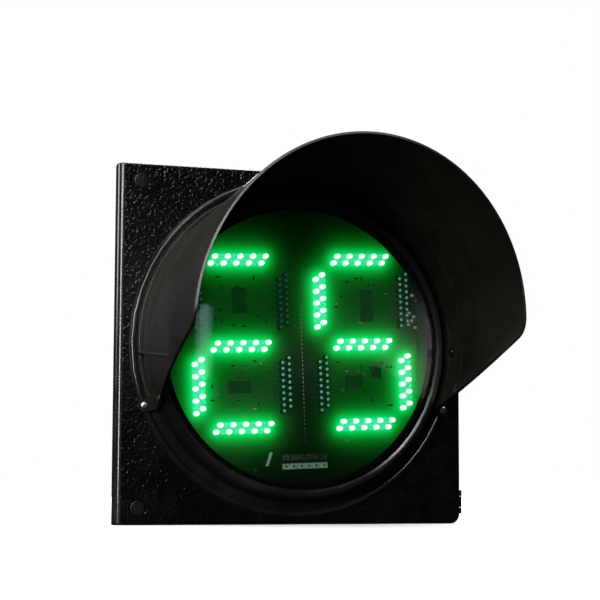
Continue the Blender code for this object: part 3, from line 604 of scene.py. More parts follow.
def make_door():
    shell = Shape()
    rings = door_rings()
    outline = rings[-1]
    seam, hole = (matched_circle(SEAM_RADIUS, outline, depth) for depth in (0, HOLE_DEPTH))
    shell.skin(rings, material=1)
    shell.skin([outline, seam])
    shell.skin([hole, rings[0]], material=1)
    shell.skin([seam, *(matched_circle(r, outline, d) for r, d in collar_section()), hole], material=1)
    head, shaft = LATCH_HEAD + 0.0005, LATCH_SHAFT + 0.0003
    seat = fillet([(0, -0.002), (head + 0.0006, -0.002), (head + 0.0003, 0.0002), (head, 0.0027),
                   (shaft, 0.0027), (shaft, 0.006), (0, 0.006)], 0.0002, 2)
    latches = [at(LATCH_X, 0, side * LATCH_RISE) for side in LATCHES.values()]
    piece("door_shell", shell, "face smooth", "door", "door_plastic", "door",
          cuts=[Shape().turn(seat, latch, BACK, 48) for latch in latches])
    fittings = Shape()
    inner = LATCH_SHAFT + 0.0004
    collar = fillet([(inner, 0.0028), (0.0096, 0.0028), (0.0095, 0.011), (inner, 0.011),
                     (inner, 0.0028)], 0.0005, 3)
    for latch in latches:
        fittings.turn(collar[:-1], latch, BACK, 48)
    for low in HINGES.values():
        knuckle(fittings, low + KNUCKLE_SHORT + KNUCKLE_GAP, KNUCKLE_LONG, -1)
    for z in (-0.1, -0.05, 0.05, 0.1):
        for side in (-1, 1):
            fittings.block(at(side * 0.1718 - 0.0012, 0.0028, z - 0.001),
                           at(side * 0.1718 + 0.0028, 0.012, z + 0.001))
    rounded(piece("door_fittings", fittings, "smooth", "door", "door_plastic"), 0.0003)


# ------------ the lens
def cap_curve(radius, edge, crown, steps=40):
    """A spherical cap's section, from its edge to the axis."""
    rise = edge - crown
    sphere = (radius ** 2 + rise ** 2) / (2 * rise)
    radii = [radius * (1 - i / steps) for i in range(steps + 1)]
    return [(r, crown + sphere - sqrt(sphere ** 2 - r ** 2)) for r in radii]


def make_lens():
    inner = LENS_RADIUS - LENS_WALL
    outside = cap_curve(LENS_RADIUS - 0.0006, -LENS_SHOULDER - 0.0006, -LENS_CROWN)
    inside = cap_curve(inner, -LENS_SHOULDER + LENS_WALL, -LENS_CROWN + LENS_WALL)
    rim = fillet([inside[0], (inner, -0.0147), (LENS_FLANGE, -0.0147), (LENS_FLANGE, -0.0172),
                  (LENS_RADIUS, -0.0172), (LENS_RADIUS, -LENS_SHOULDER), outside[0]], 0.0005, 3)
    dome = Shape().turn_lens(list(reversed(inside[1:])) + rim + outside[1:])
    piece("lens_dome", dome, "lens", "door", "clear_lens", "lens")
    seal = closed_section([(0.1424, -0.0187), (0.1476, -0.0187), (0.1476, -0.0175), (0.1424, -0.0175)],
                          0.0004)
    piece("lens_gasket", Shape().turn_lens(seal), "rubber", "door", "seal_rubber", "lens_seal")


# ------------ the visor
def visor_point(along, turn, inset):
    """A point of the visor: along 0-1 to the rim, turn 0-1 over the roof."""
    raise_z = VISOR_RIM_RAISE * along
    half_height = mix(VISOR_RADIUS, VISOR_RIM_HEIGHT, along)
    low = mix(VISOR_LOW_EDGE, VISOR_RIM_RAISE, along)
    start = asin((low - raise_z) / half_height)
    angle = mix(start, pi - start, turn)
    rise = (half_height - inset) * sin(angle)
    depth = -GAP - VISOR_LENGTH * along - VISOR_RIM_LEAN * along * rise
    return at((VISOR_RADIUS - inset) * cos(angle), depth, raise_z + rise)


def rim_reach(turn):
    """How far along the visor reaches: short of the rim near its two lower corners."""
    from_corner = min(min(turn, 1 - turn) * pi * VISOR_RADIUS, VISOR_CORNER)
    back = VISOR_CORNER - sqrt(VISOR_CORNER ** 2 - (VISOR_CORNER - from_corner) ** 2)
    return 1 - back / VISOR_LENGTH


def visor_path():
    """(along, inset) round the wall's section: out over the outside, back inside."""
    path = [(VISOR_RIM * i / 24, 0.0) for i in range(25)]
    path += [(VISOR_RIM + forward / VISOR_LENGTH, inset) for forward, inset in VISOR_RIM_EDGE]
    for i in range(81):
        along = VISOR_RIM * (1 - i / 80)
        bead = sum(0.0013 * exp(-((along * VISOR_LENGTH - ridge) / 0.0016) ** 2)
                   for ridge in VISOR_RIDGES)
        path.append((along, VISOR_WALL + bead))
    return path


def visor_flange(shape, steps=140):
    """The flange that seats round the collar, with rounded edges."""
    section = closed_section([(0.1566, -0.0034), (FLANGE_RADIUS, -0.0034), (FLANGE_RADIUS, -0.0005),
                              (0.1566, -0.0005)], 0.0005)
    angles = [mix(-FLANGE_END, pi + FLANGE_END, i / steps) for i in range(steps + 1)]
    shape.skin([[polar(r, a, d) for r, d in section] for a in angles], ends=True)


def visor_ear(shape, angle):
    """A screw ear with a rounded tip, standing out of the flange."""
    centre, root = (polar(radius, angle, -0.0038) for radius in (EAR_RADIUS, 0.157))
    outward = Vector((cos(angle), 0, sin(angle)))
    tip = [centre + outward * u + across(angle, v) for u, v in arc(EAR_TIP, -pi / 2, pi / 2, 20)]
    shape.push([root - across(angle, 0.0075), *tip, root + across(angle, 0.0075)], (0, -0.0025, 0))


def visor_gusset(shape, side, steps=30):
    """A long low rib along the outside of the visor."""
    rings = []
    for i in range(steps + 1):
        fall = max(0, (i / steps - 0.05) / 0.95)
        z, x, root = -0.0095 - 0.0095 * fall, 0.1622 - 0.0038 * fall, 0.1562
        rings.append([at(side * u, -0.002 - 0.11 * i / steps, v) for u, v in
                      ((root, z), (x - 0.0006, z), (x, z - 0.0006), (x, z - 0.0024),
                       (x - 0.0006, z - 0.003), (root, z - 0.003))])
    shape.skin(rings, ends=True)


def make_visor():
    shape = Shape()
    path = visor_path()
    near_edge = [0, 0.002, 0.005, 0.009, 0.014, 0.02, 0.027]  # closer steps by the edges
    columns = near_edge + [0.035 + 0.93 * i / 120 for i in range(121)]
    columns += [1 - turn for turn in reversed(near_edge)]
    shape.skin([[visor_point(min(along, 1.0) * rim_reach(turn), turn, inset) for along, inset in path]
                for turn in columns], ends=True)
    visor_flange(shape)
    for angle in SCREW_ANGLES:
        visor_ear(shape, angle)
    for side in (-1, 1):
        visor_gusset(shape, side)
    piece("visor_tunnel", shape, "visor", "door", "visor_plastic", "visor", angle=50)


# ------------ the screws
def screw_mesh(material, head, height, shank, length):
    """A pan head screw with a cross recess, standing on the origin, out along +Z."""
    profile = [(0, -length), (shank * 0.8, -length)]
    turns = int(length / 0.0008)
    for i in reversed(range(turns)):
        profile += [(shank * 0.86, -length * (i + 0.6) / turns), (shank, -length * (i + 0.1) / turns)]
    profile += [(shank, 0), (head, 0)]
    profile += [(head * c, height * (0.35 + 0.65 * s)) for c, s in arc(1, 0, pi / 2, 8)[:-1]]
    screw = Shape().turn([*profile, (0, height)], (0, 0, 0), UP, 32)
    cross = [Shape().block((-head * a, -head * b, height * 0.35), (head * a, head * b, height * 1.5))
             for a, b in ((0.52, 0.13), (0.13, 0.52))]
    return carve(screw.mesh([material]), cross)


def place_screw(name, mesh, seat, outward, spin, body, slot, node):
    turn = Vector(UP).rotation_difference(Vector(outward)).to_matrix().to_4x4()
    place = Matrix.Translation(Vector(seat)) @ turn @ Matrix.Rotation(radians(spin), 4, "Z")
    piece(name, mesh, "", body, slot, node, place=place)


def make_screws():
    pan = screw_mesh("stainless", 0.0036, 0.0022, 0.0019, 0.012)
    for i, angle in enumerate(SCREW_ANGLES):
        place_screw("visor_fixing_%d" % (i + 1), pan, polar(EAR_RADIUS, angle, -0.0066), FORWARD,
                    20 + 37 * i, "door", "screw_steel", "visor_screw_%d" % (i + 1))
    black = screw_mesh("black_screw", 0.0045, 0.0022, 0.0018, 0.0033)
    for label, side in SIDES.items():
        seat = at(side * (VISOR_RADIUS - VISOR_WALL - 0.001), -0.034, -0.0036)
        place_screw("side_fixing_" + label, black, seat, (-side, 0, 0), 15, "door", "screw_black",
                    "visor_side_screw_" + label)
    small = screw_mesh("stainless", 0.0032, 0.002, 0.0015, 0.0046)
    for i, angle in enumerate(CLIP_ANGLES):
        place_screw("clip_fixing_%d" % (i + 1), small, polar(CLIP_SCREW_RADIUS, angle, 0.0056), BACK,
                    33 * i, "door", "screw_steel", "lens_clip_screw_%d" % (i + 1))
    plate = screw_mesh("stainless", 0.0036, 0.0022, 0.0015, 0.0065)
    for label, side in SIDES.items():
        place_screw("plate_fixing_" + label, plate, at(side * PLATE_SCREW_X, PLATE_DEPTH - GAP, 0),
                    FORWARD, 50, "housing", "screw_steel", "plate_screw_" + label)


# ------------ the display
def unseen_by_light(obj):
    """Leave a glowing piece out of reflections and bounced light."""
    obj.visible_diffuse = False
    obj.visible_glossy = False


def bar_leds(label, key):
    """(x, z, lit) of each LED of a bar, before the display's turn."""
    along, up, upright = BARS[key]
    x = DIGIT_CENTRES[label] + along * DIGIT_HALF_WIDTH
    z = up * DIGIT_HALF_HEIGHT + DIGIT_RAISE - (MIDDLE_DROP if key == "g" else 0)
    pitch = UPRIGHT_PITCH if upright else LED_PITCH
    places = []
    for row in (-0.5, 0.5):
        for i in range(LEDS_IN_ROW):
            u = (i - (LEDS_IN_ROW - 1) / 2) * pitch + row * LED_ROW_SHIFT
            v = row * LED_ROW_GAP
            on = key in SHOWN[label] and i % 2 == 0
            places.append((x + v, z + u, on) if upright else (x + u, z + v, on))
    return places


def led_dome(shape, x, z, spot_radius, body_look, spot_look):
    """A 5 mm LED: flange, straight body, round top, and the bright spot in its dome, which on an unlit
    LED is a painted glow.
    """
    u, v = on_board(x, z)
    tall = BOARD_FRONT - LED_TIP
    body = tall - LED_RADIUS
    dome = [(r, body + rise) for r, rise in arc(LED_RADIUS, 0, acos(spot_radius / LED_RADIUS), 4)]
    flange = LED_RADIUS + 0.0003
    base = at(u, BOARD_FRONT - GAP, v)
    shape.turn([(0, 0), (flange, 0.0002), (flange, 0.0012), (LED_RADIUS, 0.0013), *dome], base, FORWARD,
               16, body_look)
    tip = [(spot_radius * t, body + sqrt(LED_RADIUS ** 2 - (spot_radius * t) ** 2))
           for t in (0.66, 0.33)]
    shape.turn([dome[-1], *tip, (0, tall)], base, FORWARD, 16, spot_look)


def make_leds():
    for label in DIGIT_CENTRES:
        for key in BARS:
            shape = Shape()
            for x, z, on in bar_leds(label, key):
                # off LEDs take looks with a painted glow: brightest in lit bars, brighter in the listed
                # unlit bars
                led_dome(shape, x, z, LIT_SPOT if on else DARK_SPOT, 2 if on else 0, 3 if on else 1)
            lit = key in SHOWN[label]
            off = "clear_led pale" if label + key in GLOWING_BARS else "clear_led dark"
            row = piece("led_row_%s_%s" % (label, key), shape,
                        ("spill spill" if lit else off) + " lit_body lit", "door",
                        "lit_leds" if lit else "unlit_leds", "leds_%s_%s" % (label, key), angle=60)
            unseen_by_light(row)


def halo(x, z, lamps):
    """How strongly the LEDs' light is painted on a place of the board: a faint painted glow over the
    digit windows and a painted pool of light round each lit LED.
    """
    # painted glow: a faint even glow over each digit's window
    window_glow = sum(0.035 / (1 + ((x - u) / 0.04) ** 8 + (z / 0.08) ** 8)
                  for u in DIGIT_CENTRES.values())
    return window_glow + sum(0.62 / (1 + ((x - u) ** 2 + (z - v) ** 2) / 0.0112 ** 2) ** 2.3
                         for u, v in lamps)


def make_board(rings=68, steps=200):
    """The LED board, with a painted glow for the light that its lit LEDs throw on it, kept per point."""
    lamps = [on_board(x, z) for label in DIGIT_CENTRES for key in BARS
             for x, z, on in bar_leds(label, key) if on]
    back, small = BOARD_FRONT + BOARD_THICK, 0.0002
    front = [(BOARD_RADIUS * (1 - i / rings), BOARD_FRONT) for i in range(rings + 1)]
    edge = [(0, back), (BOARD_RADIUS - small, back), (BOARD_RADIUS, back - small),
            (BOARD_RADIUS, BOARD_FRONT + small)]
    mesh = Shape().turn_lens(edge + front, steps).mesh(["board"])
    glow = mesh.attributes.new("halo", "FLOAT", "POINT")
    for vertex, value in zip(mesh.vertices, glow.data):
        near = vertex.co.y < FACE_Y + BOARD_FRONT + 0.0001
        value.value = halo(vertex.co.x, vertex.co.z - CENTRE_Z, lamps) if near else 0.0
    unseen_by_light(piece("board_disc", mesh, "", "door", "led_board", "led_board"))


def make_board_parts():
    """Chips, small parts, printed legend blocks and a row of pads between the digits."""
    draw = random.Random(7)
    shape = Shape()
    front = BOARD_FRONT - 0.0001
    chip, pin, nylon, ink = range(4)
    for x, z, w, h in ((0.072, 0.04, 0.013, 0.032), (0.056, -0.036, 0.018, 0.01),
                       (-0.062, 0.046, 0.012, 0.026), (-0.064, -0.04, 0.022, 0.012),
                       (0.08, -0.028, 0.01, 0.008)):
        shape.chip(x, z, w, h, front, 0.0018, chip)
        for i in range(8):
            t = (i - 3.5) / 8
            for s in (-1, 1):
                if h > w:
                    shape.chip(x + s * (w / 2 + 0.0011), z + t * h, 0.0022, 0.0011, front, 0.0006, pin)
                else:
                    shape.chip(x + t * w, z + s * (h / 2 + 0.0011), 0.0011, 0.0022, front, 0.0006, pin)
    for i in range(64):
        x = draw.choice(tuple(DIGIT_CENTRES.values())) + draw.uniform(-0.031, 0.031)
        z = draw.choice((-0.04, 0.044)) + draw.uniform(-0.026, 0.026)
        flat = draw.random() < 0.5
        w, h = (0.0032, 0.0016) if flat else (0.0016, 0.0032)
        shape.chip(x, z, w, h, front, 0.0008, chip if i % 3 else nylon)
        for s in (-1, 1):
            if flat:
                shape.chip(x + s * w / 2, z, 0.0008, 0.0017, front, 0.0009, pin)
            else:
                shape.chip(x, z + s * h / 2, 0.0017, 0.0008, front, 0.0009, pin)
    for z, shade in ((-0.1105, nylon), (-0.1195, ink)):
        for x in (-0.0195 + 0.0079 * i for i in range(6)):
            shape.chip(x, z, 0.0068, 0.0056, front, 0.003, shade)
            shape.chip(x, z, 0.002, 0.002, front, 0.0034, chip)
    for i in range(7):
        shape.chip(-0.0385 + 0.0007 * i, -0.1175 + 0.0019 * i, 0.003, 0.002, front, 0.0004, ink)
    for x, z in ((0.1175, 0.02), (0.1235, 0.028), (0.1185, 0.032), (0.1245, 0.017),
                 (0.121, 0.024), (0.1225, 0.05), (0.046, -0.096)):
        shape.chip(x, z, 0.003, 0.0028, front, 0.0012, ink)
    for i in range(44):
        shape.chip(0.002, -0.095 + 0.0042 * i, 0.0008, 0.0024, front, 0.0003, nylon)
    # the print and chips here carry a faint painted glow of the LEDs' light
    rounded(piece("board_components", shape, "lit_chip silver white ink", "door", "led_board"),
            0.00018, 1)
    vias = Shape()
    for angle, radius in ((22, 0.1345), (95, 0.132), (165, 0.132), (250, 0.132)):
        vias.turn([(0, 0.0006), (0.0016, 0.0006), (0.0022, 0.0001), (0.0022, -0.0001), (0, -0.0001)],
                  polar(radius, radians(angle), BOARD_FRONT - 0.0002), FORWARD, 20)
    piece("board_vias", vias, "silver", "door", "led_board")


# ------------ the housing
def housing_rings():
    """Rings of the shell: from the floor inside, over the rim, to the rear wall outside."""
    front = CASE / 2 - GAP
    corners = (BACK_RADIUS,) * 4
    small, bend = 0.0005, 0.004

    def wall(t, inset, back, start, end):
        radii = [mix(radius, BACK_RADIUS, t) for radius in case_radii(inset)]
        return rounded_square(mix(front - inset, back, t), radii, mix(start, end, t))

    rings = [rounded_square(BACK_HALF - 0.006, corners, HOUSING_BACK - WALL)]
    for i in range(9):
        rings.append(wall(1 - i / 8, WALL, BACK_HALF - 0.002, HOUSING_STRAIGHT - 0.001,
                          HOUSING_BACK - WALL - bend))
    for inset, depth in ((WALL, HOUSING_FRONT + small), (WALL - small, HOUSING_FRONT),
                         (small, HOUSING_FRONT), (0.0, HOUSING_FRONT + small)):
        rings.append(rounded_square(front - inset, case_radii(inset), depth))
    for i in range(9):
        rings.append(wall(i / 8, 0, BACK_HALF + bend, HOUSING_STRAIGHT, HOUSING_BACK - bend))
    for out, back in arc(bend, 0, pi / 2, 5)[1:]:
        rings.append(rounded_square(BACK_HALF + out, corners, HOUSING_BACK - bend + back))
    return rings


def housing_joins():
    """Bosses, knuckles, strikes, posts, webs and the raised frame of the rear wall."""
    joins = [Shape().rod((0, 0, z), (0, 0, z + inward * BOSS_LENGTH), BOSS_RADIUS, 96, 0, 0.0006)
             for z, inward in BOSSES.values()]
    small = Shape()
    for low in HINGES.values():
        for start in (low, low + KNUCKLE_SHORT + KNUCKLE_LONG + 2 * KNUCKLE_GAP):
            knuckle(small, start, KNUCKLE_SHORT, 1)
    for side in (-1, 1):
        small.block(at(-CASE / 2 + 0.0015, 0.0166, side * LATCH_RISE - 0.007),
                    at(LATCH_X - 0.0056, 0.0186, side * LATCH_RISE + 0.007))
        x = side * PLATE_SCREW_X
        small.rod(at(x, PLATE_DEPTH + PLATE_THICK + GAP, 0), at(x, HOUSING_BACK - 0.001, 0), 0.005, 32)
        for web in (-0.018, 0.018):
            small.block(at(web - 0.001, 0.07, side * 0.151), at(web + 0.001, 0.0895, side * 0.1455))
    raised, sunk = HOUSING_BACK + 0.0013, HOUSING_BACK - 0.001
    frame_rib = Shape()
    frame_rib.skin([rounded_rectangle(0.17, 0.19, 0.01, sunk),
                    rounded_rectangle(0.17, 0.19, 0.01, raised),
                    rounded_rectangle(0.164, 0.184, 0.007, raised),
                    rounded_rectangle(0.164, 0.184, 0.007, sunk)], closed=True)
    return joins + [small, frame_rib]


def housing_cuts():
    """Stepped bores with a toothed end face, and the holes of posts, pins and gland."""
    cuts = []
    for z, inward in BOSSES.values():
        cuts.append(Shape().turn([(0, -0.01), (RECESS_RADIUS, -0.01), (RECESS_RADIUS, RECESS_DEPTH),
                                  (BORE_RADIUS, RECESS_DEPTH), (BORE_RADIUS, BOSS_LENGTH + 0.01),
                                  (0, BOSS_LENGTH + 0.01)], (0, 0, z), (0, 0, inward), 96))
        teeth = Shape()
        for i in range(36):
            turn = Matrix.Rotation(tau * i / 36, 3, "Z")
            teeth.push([turn @ Vector((x, y, z + inward * 0.0006))
                        for x, y in ((0.03, -0.0011), (0.0342, -0.0013), (0.0342, 0.0013),
                                     (0.03, 0.0011))], (0, 0, -inward * 0.002))
        cuts.append(teeth)
    holes = Shape()
    for low in HINGES.values():
        holes.rod((HINGE_X, HINGE_Y, low - 0.002), (HINGE_X, HINGE_Y, low + 0.03), 0.0017)
    for side in (-1, 1):
        x = side * PLATE_SCREW_X
        holes.rod(at(x, PLATE_DEPTH, 0), at(x, HOUSING_BACK - 0.0025, 0), 0.0018)
    holes.rod(at(GLAND_X, HOUSING_BACK - 0.01, GLAND_Z), at(GLAND_X, HOUSING_BACK + 0.01, GLAND_Z),
              0.0083, 48)
    return cuts + [holes]


def make_housing():
    shell = Shape()
    shell.skin(housing_rings(), ends=True)
    piece("housing_shell", shell, "housing", "housing", "housing_plastic", "housing",
          cuts=housing_cuts(), joins=housing_joins())
    gasket = Shape()
    gasket.skin([rounded_square(CASE / 2 - inset, case_radii(inset), depth) for inset, depth in
                 ((0.0008, 0.0146), (0.001, 0.0143), (0.0026, 0.0143), (0.0028, 0.0146),
                  (0.0028, 0.0159), (0.0026, 0.0162), (0.002, 0.0162), (0.0018, 0.0158),
                  (0.0016, 0.0162), (0.001, 0.0162), (0.0008, 0.0159))], closed=True)
    piece("door_gasket", gasket, "rubber", "housing", "seal_rubber", "door_seal")


def make_caps():
    """Blanking caps with a coin slot, their seals, and lobed nuts inside."""
    flange, stem, tall = RECESS_DEPTH - 0.002, BORE_RADIUS - 0.0005, BOSS_LENGTH + 0.008
    recess, wide = RECESS_RADIUS - 0.001, BOSS_RADIUS - 0.004
    low, high = BOSS_LENGTH + GAP, BOSS_LENGTH + 0.006
    profile = fillet([(0, 0), (RECESS_RADIUS - GAP, 0), (RECESS_RADIUS - GAP, flange), (stem, flange),
                      (stem, flange + 0.004)], 0.0008, 4)
    for i in range(14):
        along = mix(BOSS_LENGTH - 0.006, tall - 0.001, i / 14)
        profile += [(stem, along), (stem - 0.0006, along + 0.0005)]
    profile += [(stem - 0.0006, tall), (stem - WALL, tall), (stem - WALL, flange), (0, flange)]
    for label, (z, inward) in BOSSES.items():
        place = ((0, 0, z), (0, 0, inward))
        slot = Shape().block((-0.013, -0.0012, z - 0.0014), (0.013, 0.0012, z + 0.0014))
        groove = Shape().turn([(0.019, -0.001), (0.0204, -0.001), (0.0202, 0.0006), (0.0192, 0.0006)],
                              *place)
        piece(label + "_blanking_cap", Shape().turn(profile, *place), "cap", "housing", "cap_plastic",
              label + "_cap", cuts=[slot, groove])
        seal = Shape().ring([(stem + 0.001, flange + GAP), (recess, flange + GAP),
                             (recess, RECESS_DEPTH - GAP), (stem + 0.001, RECESS_DEPTH - GAP)],
                            *place, 0.0005)
        piece(label + "_cap_washer", seal, "rubber", "housing", "seal_rubber", label + "_cap_seal")
        nut = Shape().turn_flats([(stem + GAP, low, 0), (wide - 0.001, low, 0), (wide, low + 0.0008, 0.6),
                                  (wide, high - 0.0008, 0.6), (wide - 0.001, high, 0.2),
                                  (stem + GAP, high, 0)], *place, 8, 128)
        piece(label + "_lock_nut", nut, "cap", "housing", "cap_plastic", label + "_cap_nut", angle=25)


def make_gland():
    place = (at(GLAND_X, HOUSING_BACK, GLAND_Z), BACK)
    body = [(0.005, -0.0095, 0), (0.0076, -0.0095, 0), (0.008, -0.009, 0), (0.008, GAP, 0),
            (0.0114, GAP, 0), (0.012, 0.0009, 1), (0.012, 0.0044, 1), (0.0114, 0.005, 0),
            (0.0086, 0.005, 0), (0.0086, 0.012, 0), (0.0066, 0.012, 0), (0.0066, 0.004, 0),
            (0.005, 0.004, 0)]
    dome = [(0.0089, 0.0053, 0), (0.0112, 0.0053, 0), (0.0118, 0.0059, 1), (0.0118, 0.0112, 1),
            (0.0112, 0.0121, 0), (0.01, 0.0148, 0), (0.0085, 0.0162, 0), (0.008, 0.0165, 0),
            (0.005, 0.0165, 0), (0.005, 0.0135, 0), (0.0089, 0.0125, 0)]
    seal = [(0.0035, 0.0045), (0.0063, 0.0045), (0.0063, 0.0125), (0.0035, 0.0125)]
    piece("gland_socket", Shape().turn_flats(body, *place, 6), "gland", "housing", "gland_plastic",
          "gland_body", angle=25)
    piece("gland_grommet", Shape().ring(seal, *place, 0.0006, 48), "rubber", "housing", "seal_rubber",
          "gland_seal")
    piece("gland_dome", Shape().turn_flats(dome, *place, 6), "gland", "housing", "gland_plastic",
          "gland_nut", angle=25)


def make_pins():
    for label, low in HINGES.items():
        pin = Shape().rod((HINGE_X, HINGE_Y, low - 0.0006), (HINGE_X, HINGE_Y, low + 0.0246), 0.0016, 32,
                          0, 0.0005)
        piece("hinge_rod_" + label, pin, "stainless", "housing", "pin_steel", "hinge_pin_" + label)


def make_latches():
    """Quarter-turn latches: slotted head, shaft and, behind the door, a steel cam."""
    square, top, end = 0.003, CAM_FRONT - GAP, CAM_FRONT + CAM_THICK
    profile = fillet([(0, 0.0), (LATCH_HEAD, 0.0), (LATCH_HEAD, 0.0024), (LATCH_SHAFT, 0.0024),
                      (LATCH_SHAFT, top), (square, top), (square, end), (0, end)],
                     [0, 0.0007, 0.0003, 0.0004, 0.0004, 0, 0.0004, 0], 4)
    hole = [(0, -0.002), (0.0033, -0.002), (0.0033, 0.006), (0, 0.006)]
    for label, side in LATCHES.items():
        centre = at(LATCH_X, 0, side * LATCH_RISE)
        slot = Shape().block(centre + Vector((-0.0009, -0.001, -0.0056)),
                             centre + Vector((0.0009, 0.0014, 0.0056)))
        piece("latch_knob_" + label, Shape().turn(profile, centre, BACK, 64), "latch", "latch_" + label,
              "latch_plastic", "latch_" + label, cuts=[slot])
        outline = arc(0.0055, 0, pi, 24)
        outline += [(-0.0035, 0.0008 - CAM_LENGTH), (-0.0027, -CAM_LENGTH), (0.0027, -CAM_LENGTH),
                    (0.0035, 0.0008 - CAM_LENGTH)]
        start = centre + Vector((0, CAM_FRONT, 0))
        cam = Shape().push([start + Vector((x, 0, side * z)) for x, z in outline], (0, CAM_THICK, 0))
        rounded(piece("latch_tongue_" + label, cam, "zinc", "latch_" + label, "cam_steel",
                      "latch_cam_" + label, cuts=[Shape().turn(hole, start, BACK, 32)]), 0.0003)


# ------------ the display's insides
def make_clips():
    """Bent spring clips behind the collar."""
    path = fillet([(0.1437, -0.0111), (0.1466, -0.0111), (0.1466, 0.0043), (0.1649, 0.0043)], 0.0016, 5)
    sides = [[], []]
    for before, p, after in zip([path[0]] + path, path, path[1:] + [path[-1]]):
        along = after - before
        for edge, way in zip(sides, (-1, 1)):
            edge.append(p + Vector((-along.y, along.x)).normalized() * 0.0008 * way)
    outline = sides[0] + sides[1][::-1]
    hole = [(0, -0.004), (0.002, -0.004), (0.002, 0.004), (0, 0.004)]
    for i, angle in enumerate(CLIP_ANGLES):
        clip = Shape().push([polar(r, angle, d) - across(angle, 0.006) for r, d in outline],
                            across(angle, 0.012))
        screw = Shape().turn(hole, polar(CLIP_SCREW_RADIUS, angle, 0.0043), BACK, 24)
        rounded(piece("spring_clip_%d" % (i + 1), clip, "stainless", "door", "clip_steel",
                      "lens_clip_%d" % (i + 1), cuts=[screw]), 0.0002)


def make_module():
    """The display's pan with ribs behind, and the spacers that hold its LED board."""
    pan = Shape()
    pan.turn_lens(fillet([(0, PAN_FLOOR), (0.1235, PAN_FLOOR), (0.1405, -0.005), (0.1405, -0.0144),
                          (LENS_FLANGE, -0.0144), (LENS_FLANGE, -0.0124), (0.143, -0.0124),
                          (0.143, -0.0045), (0.1253, PAN_BACK), (0, PAN_BACK)],
                         [0, 0.004, 0.004, 0.0003, 0.0003, 0.0003, 0.0006, 0.006, 0.006, 0], 6))
    root, top = PAN_BACK - 0.0005, PAN_BACK + 0.0014
    for i in range(16):
        angle = tau * (i + 0.5) / 16
        pan.push([polar(radius, angle, depth) - across(angle, 0.0007) for radius, depth in
                  ((0.032, root), (0.117, root), (0.117, PAN_BACK + 0.0004), (0.114, top),
                   (0.032, top))], across(angle, 0.0014))
    for radius in (0.032, 0.118):
        inner, outer = radius - 0.0008, radius + 0.0008
        pan.turn_lens([(inner, root), (outer, root), (outer, top), (inner, top)], 120)
    a, b = CONTROL_HALF
    for sx in (-1, 1):
        for sz in (-1, 1):
            u, v = on_board(sx * (a - 0.008), sz * (b - 0.008))
            pan.rod(at(u, PAN_FLOOR + 0.001, v), at(u, CONTROL_DEPTH + BOARD_THICK + GAP, v), 0.004)
    piece("module_pan", pan, "module", "door", "module_plastic", "module_cover")
    low, high = BOARD_FRONT + BOARD_THICK + GAP, PAN_FLOOR - GAP
    for i in range(3):
        spacer = Shape().turn_flats([(0.0012, low, 0), (0.0031, low, 0), (0.0035, low + 0.0005, 1),
                                     (0.0035, high - 0.0005, 1), (0.0031, high, 0), (0.0012, high, 0)],
                                    polar(0.1, radians(90 + 120 * i) + MODULE_TURN, 0), BACK, 6, 36)
        piece("hex_spacer_%d" % (i + 1), spacer, "brass", "door", "spacer_brass",
              "board_spacer_%d" % (i + 1), angle=25)


def make_control():
    """Driver board with its parts, and the transformer on it."""
    board = Shape()
    a, b = CONTROL_HALF
    front = CONTROL_DEPTH - GAP
    chip, pin, white, sleeve = range(1, 5)
    board.chip(0, 0, 2 * a, 2 * b, CONTROL_DEPTH + BOARD_THICK, BOARD_THICK)
    for x, z, radius, tall in ((0.01, 0.024, 0.005, 0.012), (0.024, 0.024, 0.005, 0.012),
                               (0.036, 0.026, 0.0032, 0.007), (0.048, 0.002, 0.004, 0.009)):
        u, v = on_board(x, z)
        board.rod(at(u, front, v), at(u, front - tall, v), radius, 32, sleeve, 0.0006)
        board.rod(at(u, front - tall + 0.0002, v), at(u, front - tall - 0.0001, v), radius * 0.8, 32,
                  pin, 0.0001)
    for x, z, w, h, tall, shade in (
            (0.016, 0.002, 0.008, 0.02, 0.002, chip), (0.032, 0.004, 0.008, 0.014, 0.002, chip),
            (0.046, -0.024, 0.02, 0.01, 0.0085, white), (0.018, -0.025, 0.018, 0.012, 0.01, chip),
            (-0.03, -0.031, 0.03, 0.006, 0.007, white), (0.05, 0.026, 0.008, 0.01, 0.002, chip)):
        board.chip(x, z, w, h, front, tall, shade)
    for i in range(24):
        x, z = -0.004 + 0.0052 * (i % 11), -0.012 - 0.0028 * (i // 11)
        board.chip(x, z, 0.003, 0.0015, front, 0.0008, chip)
        for s in (-1, 1):
            board.chip(x + s * 0.0016, z, 0.0007, 0.0016, front, 0.0009, pin)
    rounded(piece("driver_board", board, "control chip silver white rubber", "door", "control_board",
                  "control_board"), 0.0002, 1)
    core = Shape()
    x, seat, tall = -0.029, 0.0148, 0.014
    copper, cheek = 1, 2
    core.chip(x, 0, 0.042, 0.014, seat, tall)
    for side in (-1, 1):
        core.chip(x + side * 0.0175, 0, 0.007, 0.04, seat, tall)
        core.chip(x, side * 0.0165, 0.042, 0.007, seat, tall)
        core.chip(x, side * 0.0125, 0.027, 0.001, 0.0177, 0.022, cheek)
    core.chip(x, 0, 0.026, 0.024, 0.017, 0.0204, copper)
    rounded(piece("mains_transformer", core, "core copper white", "door", "transformer_iron",
                  "transformer"), 0.0009, 3)


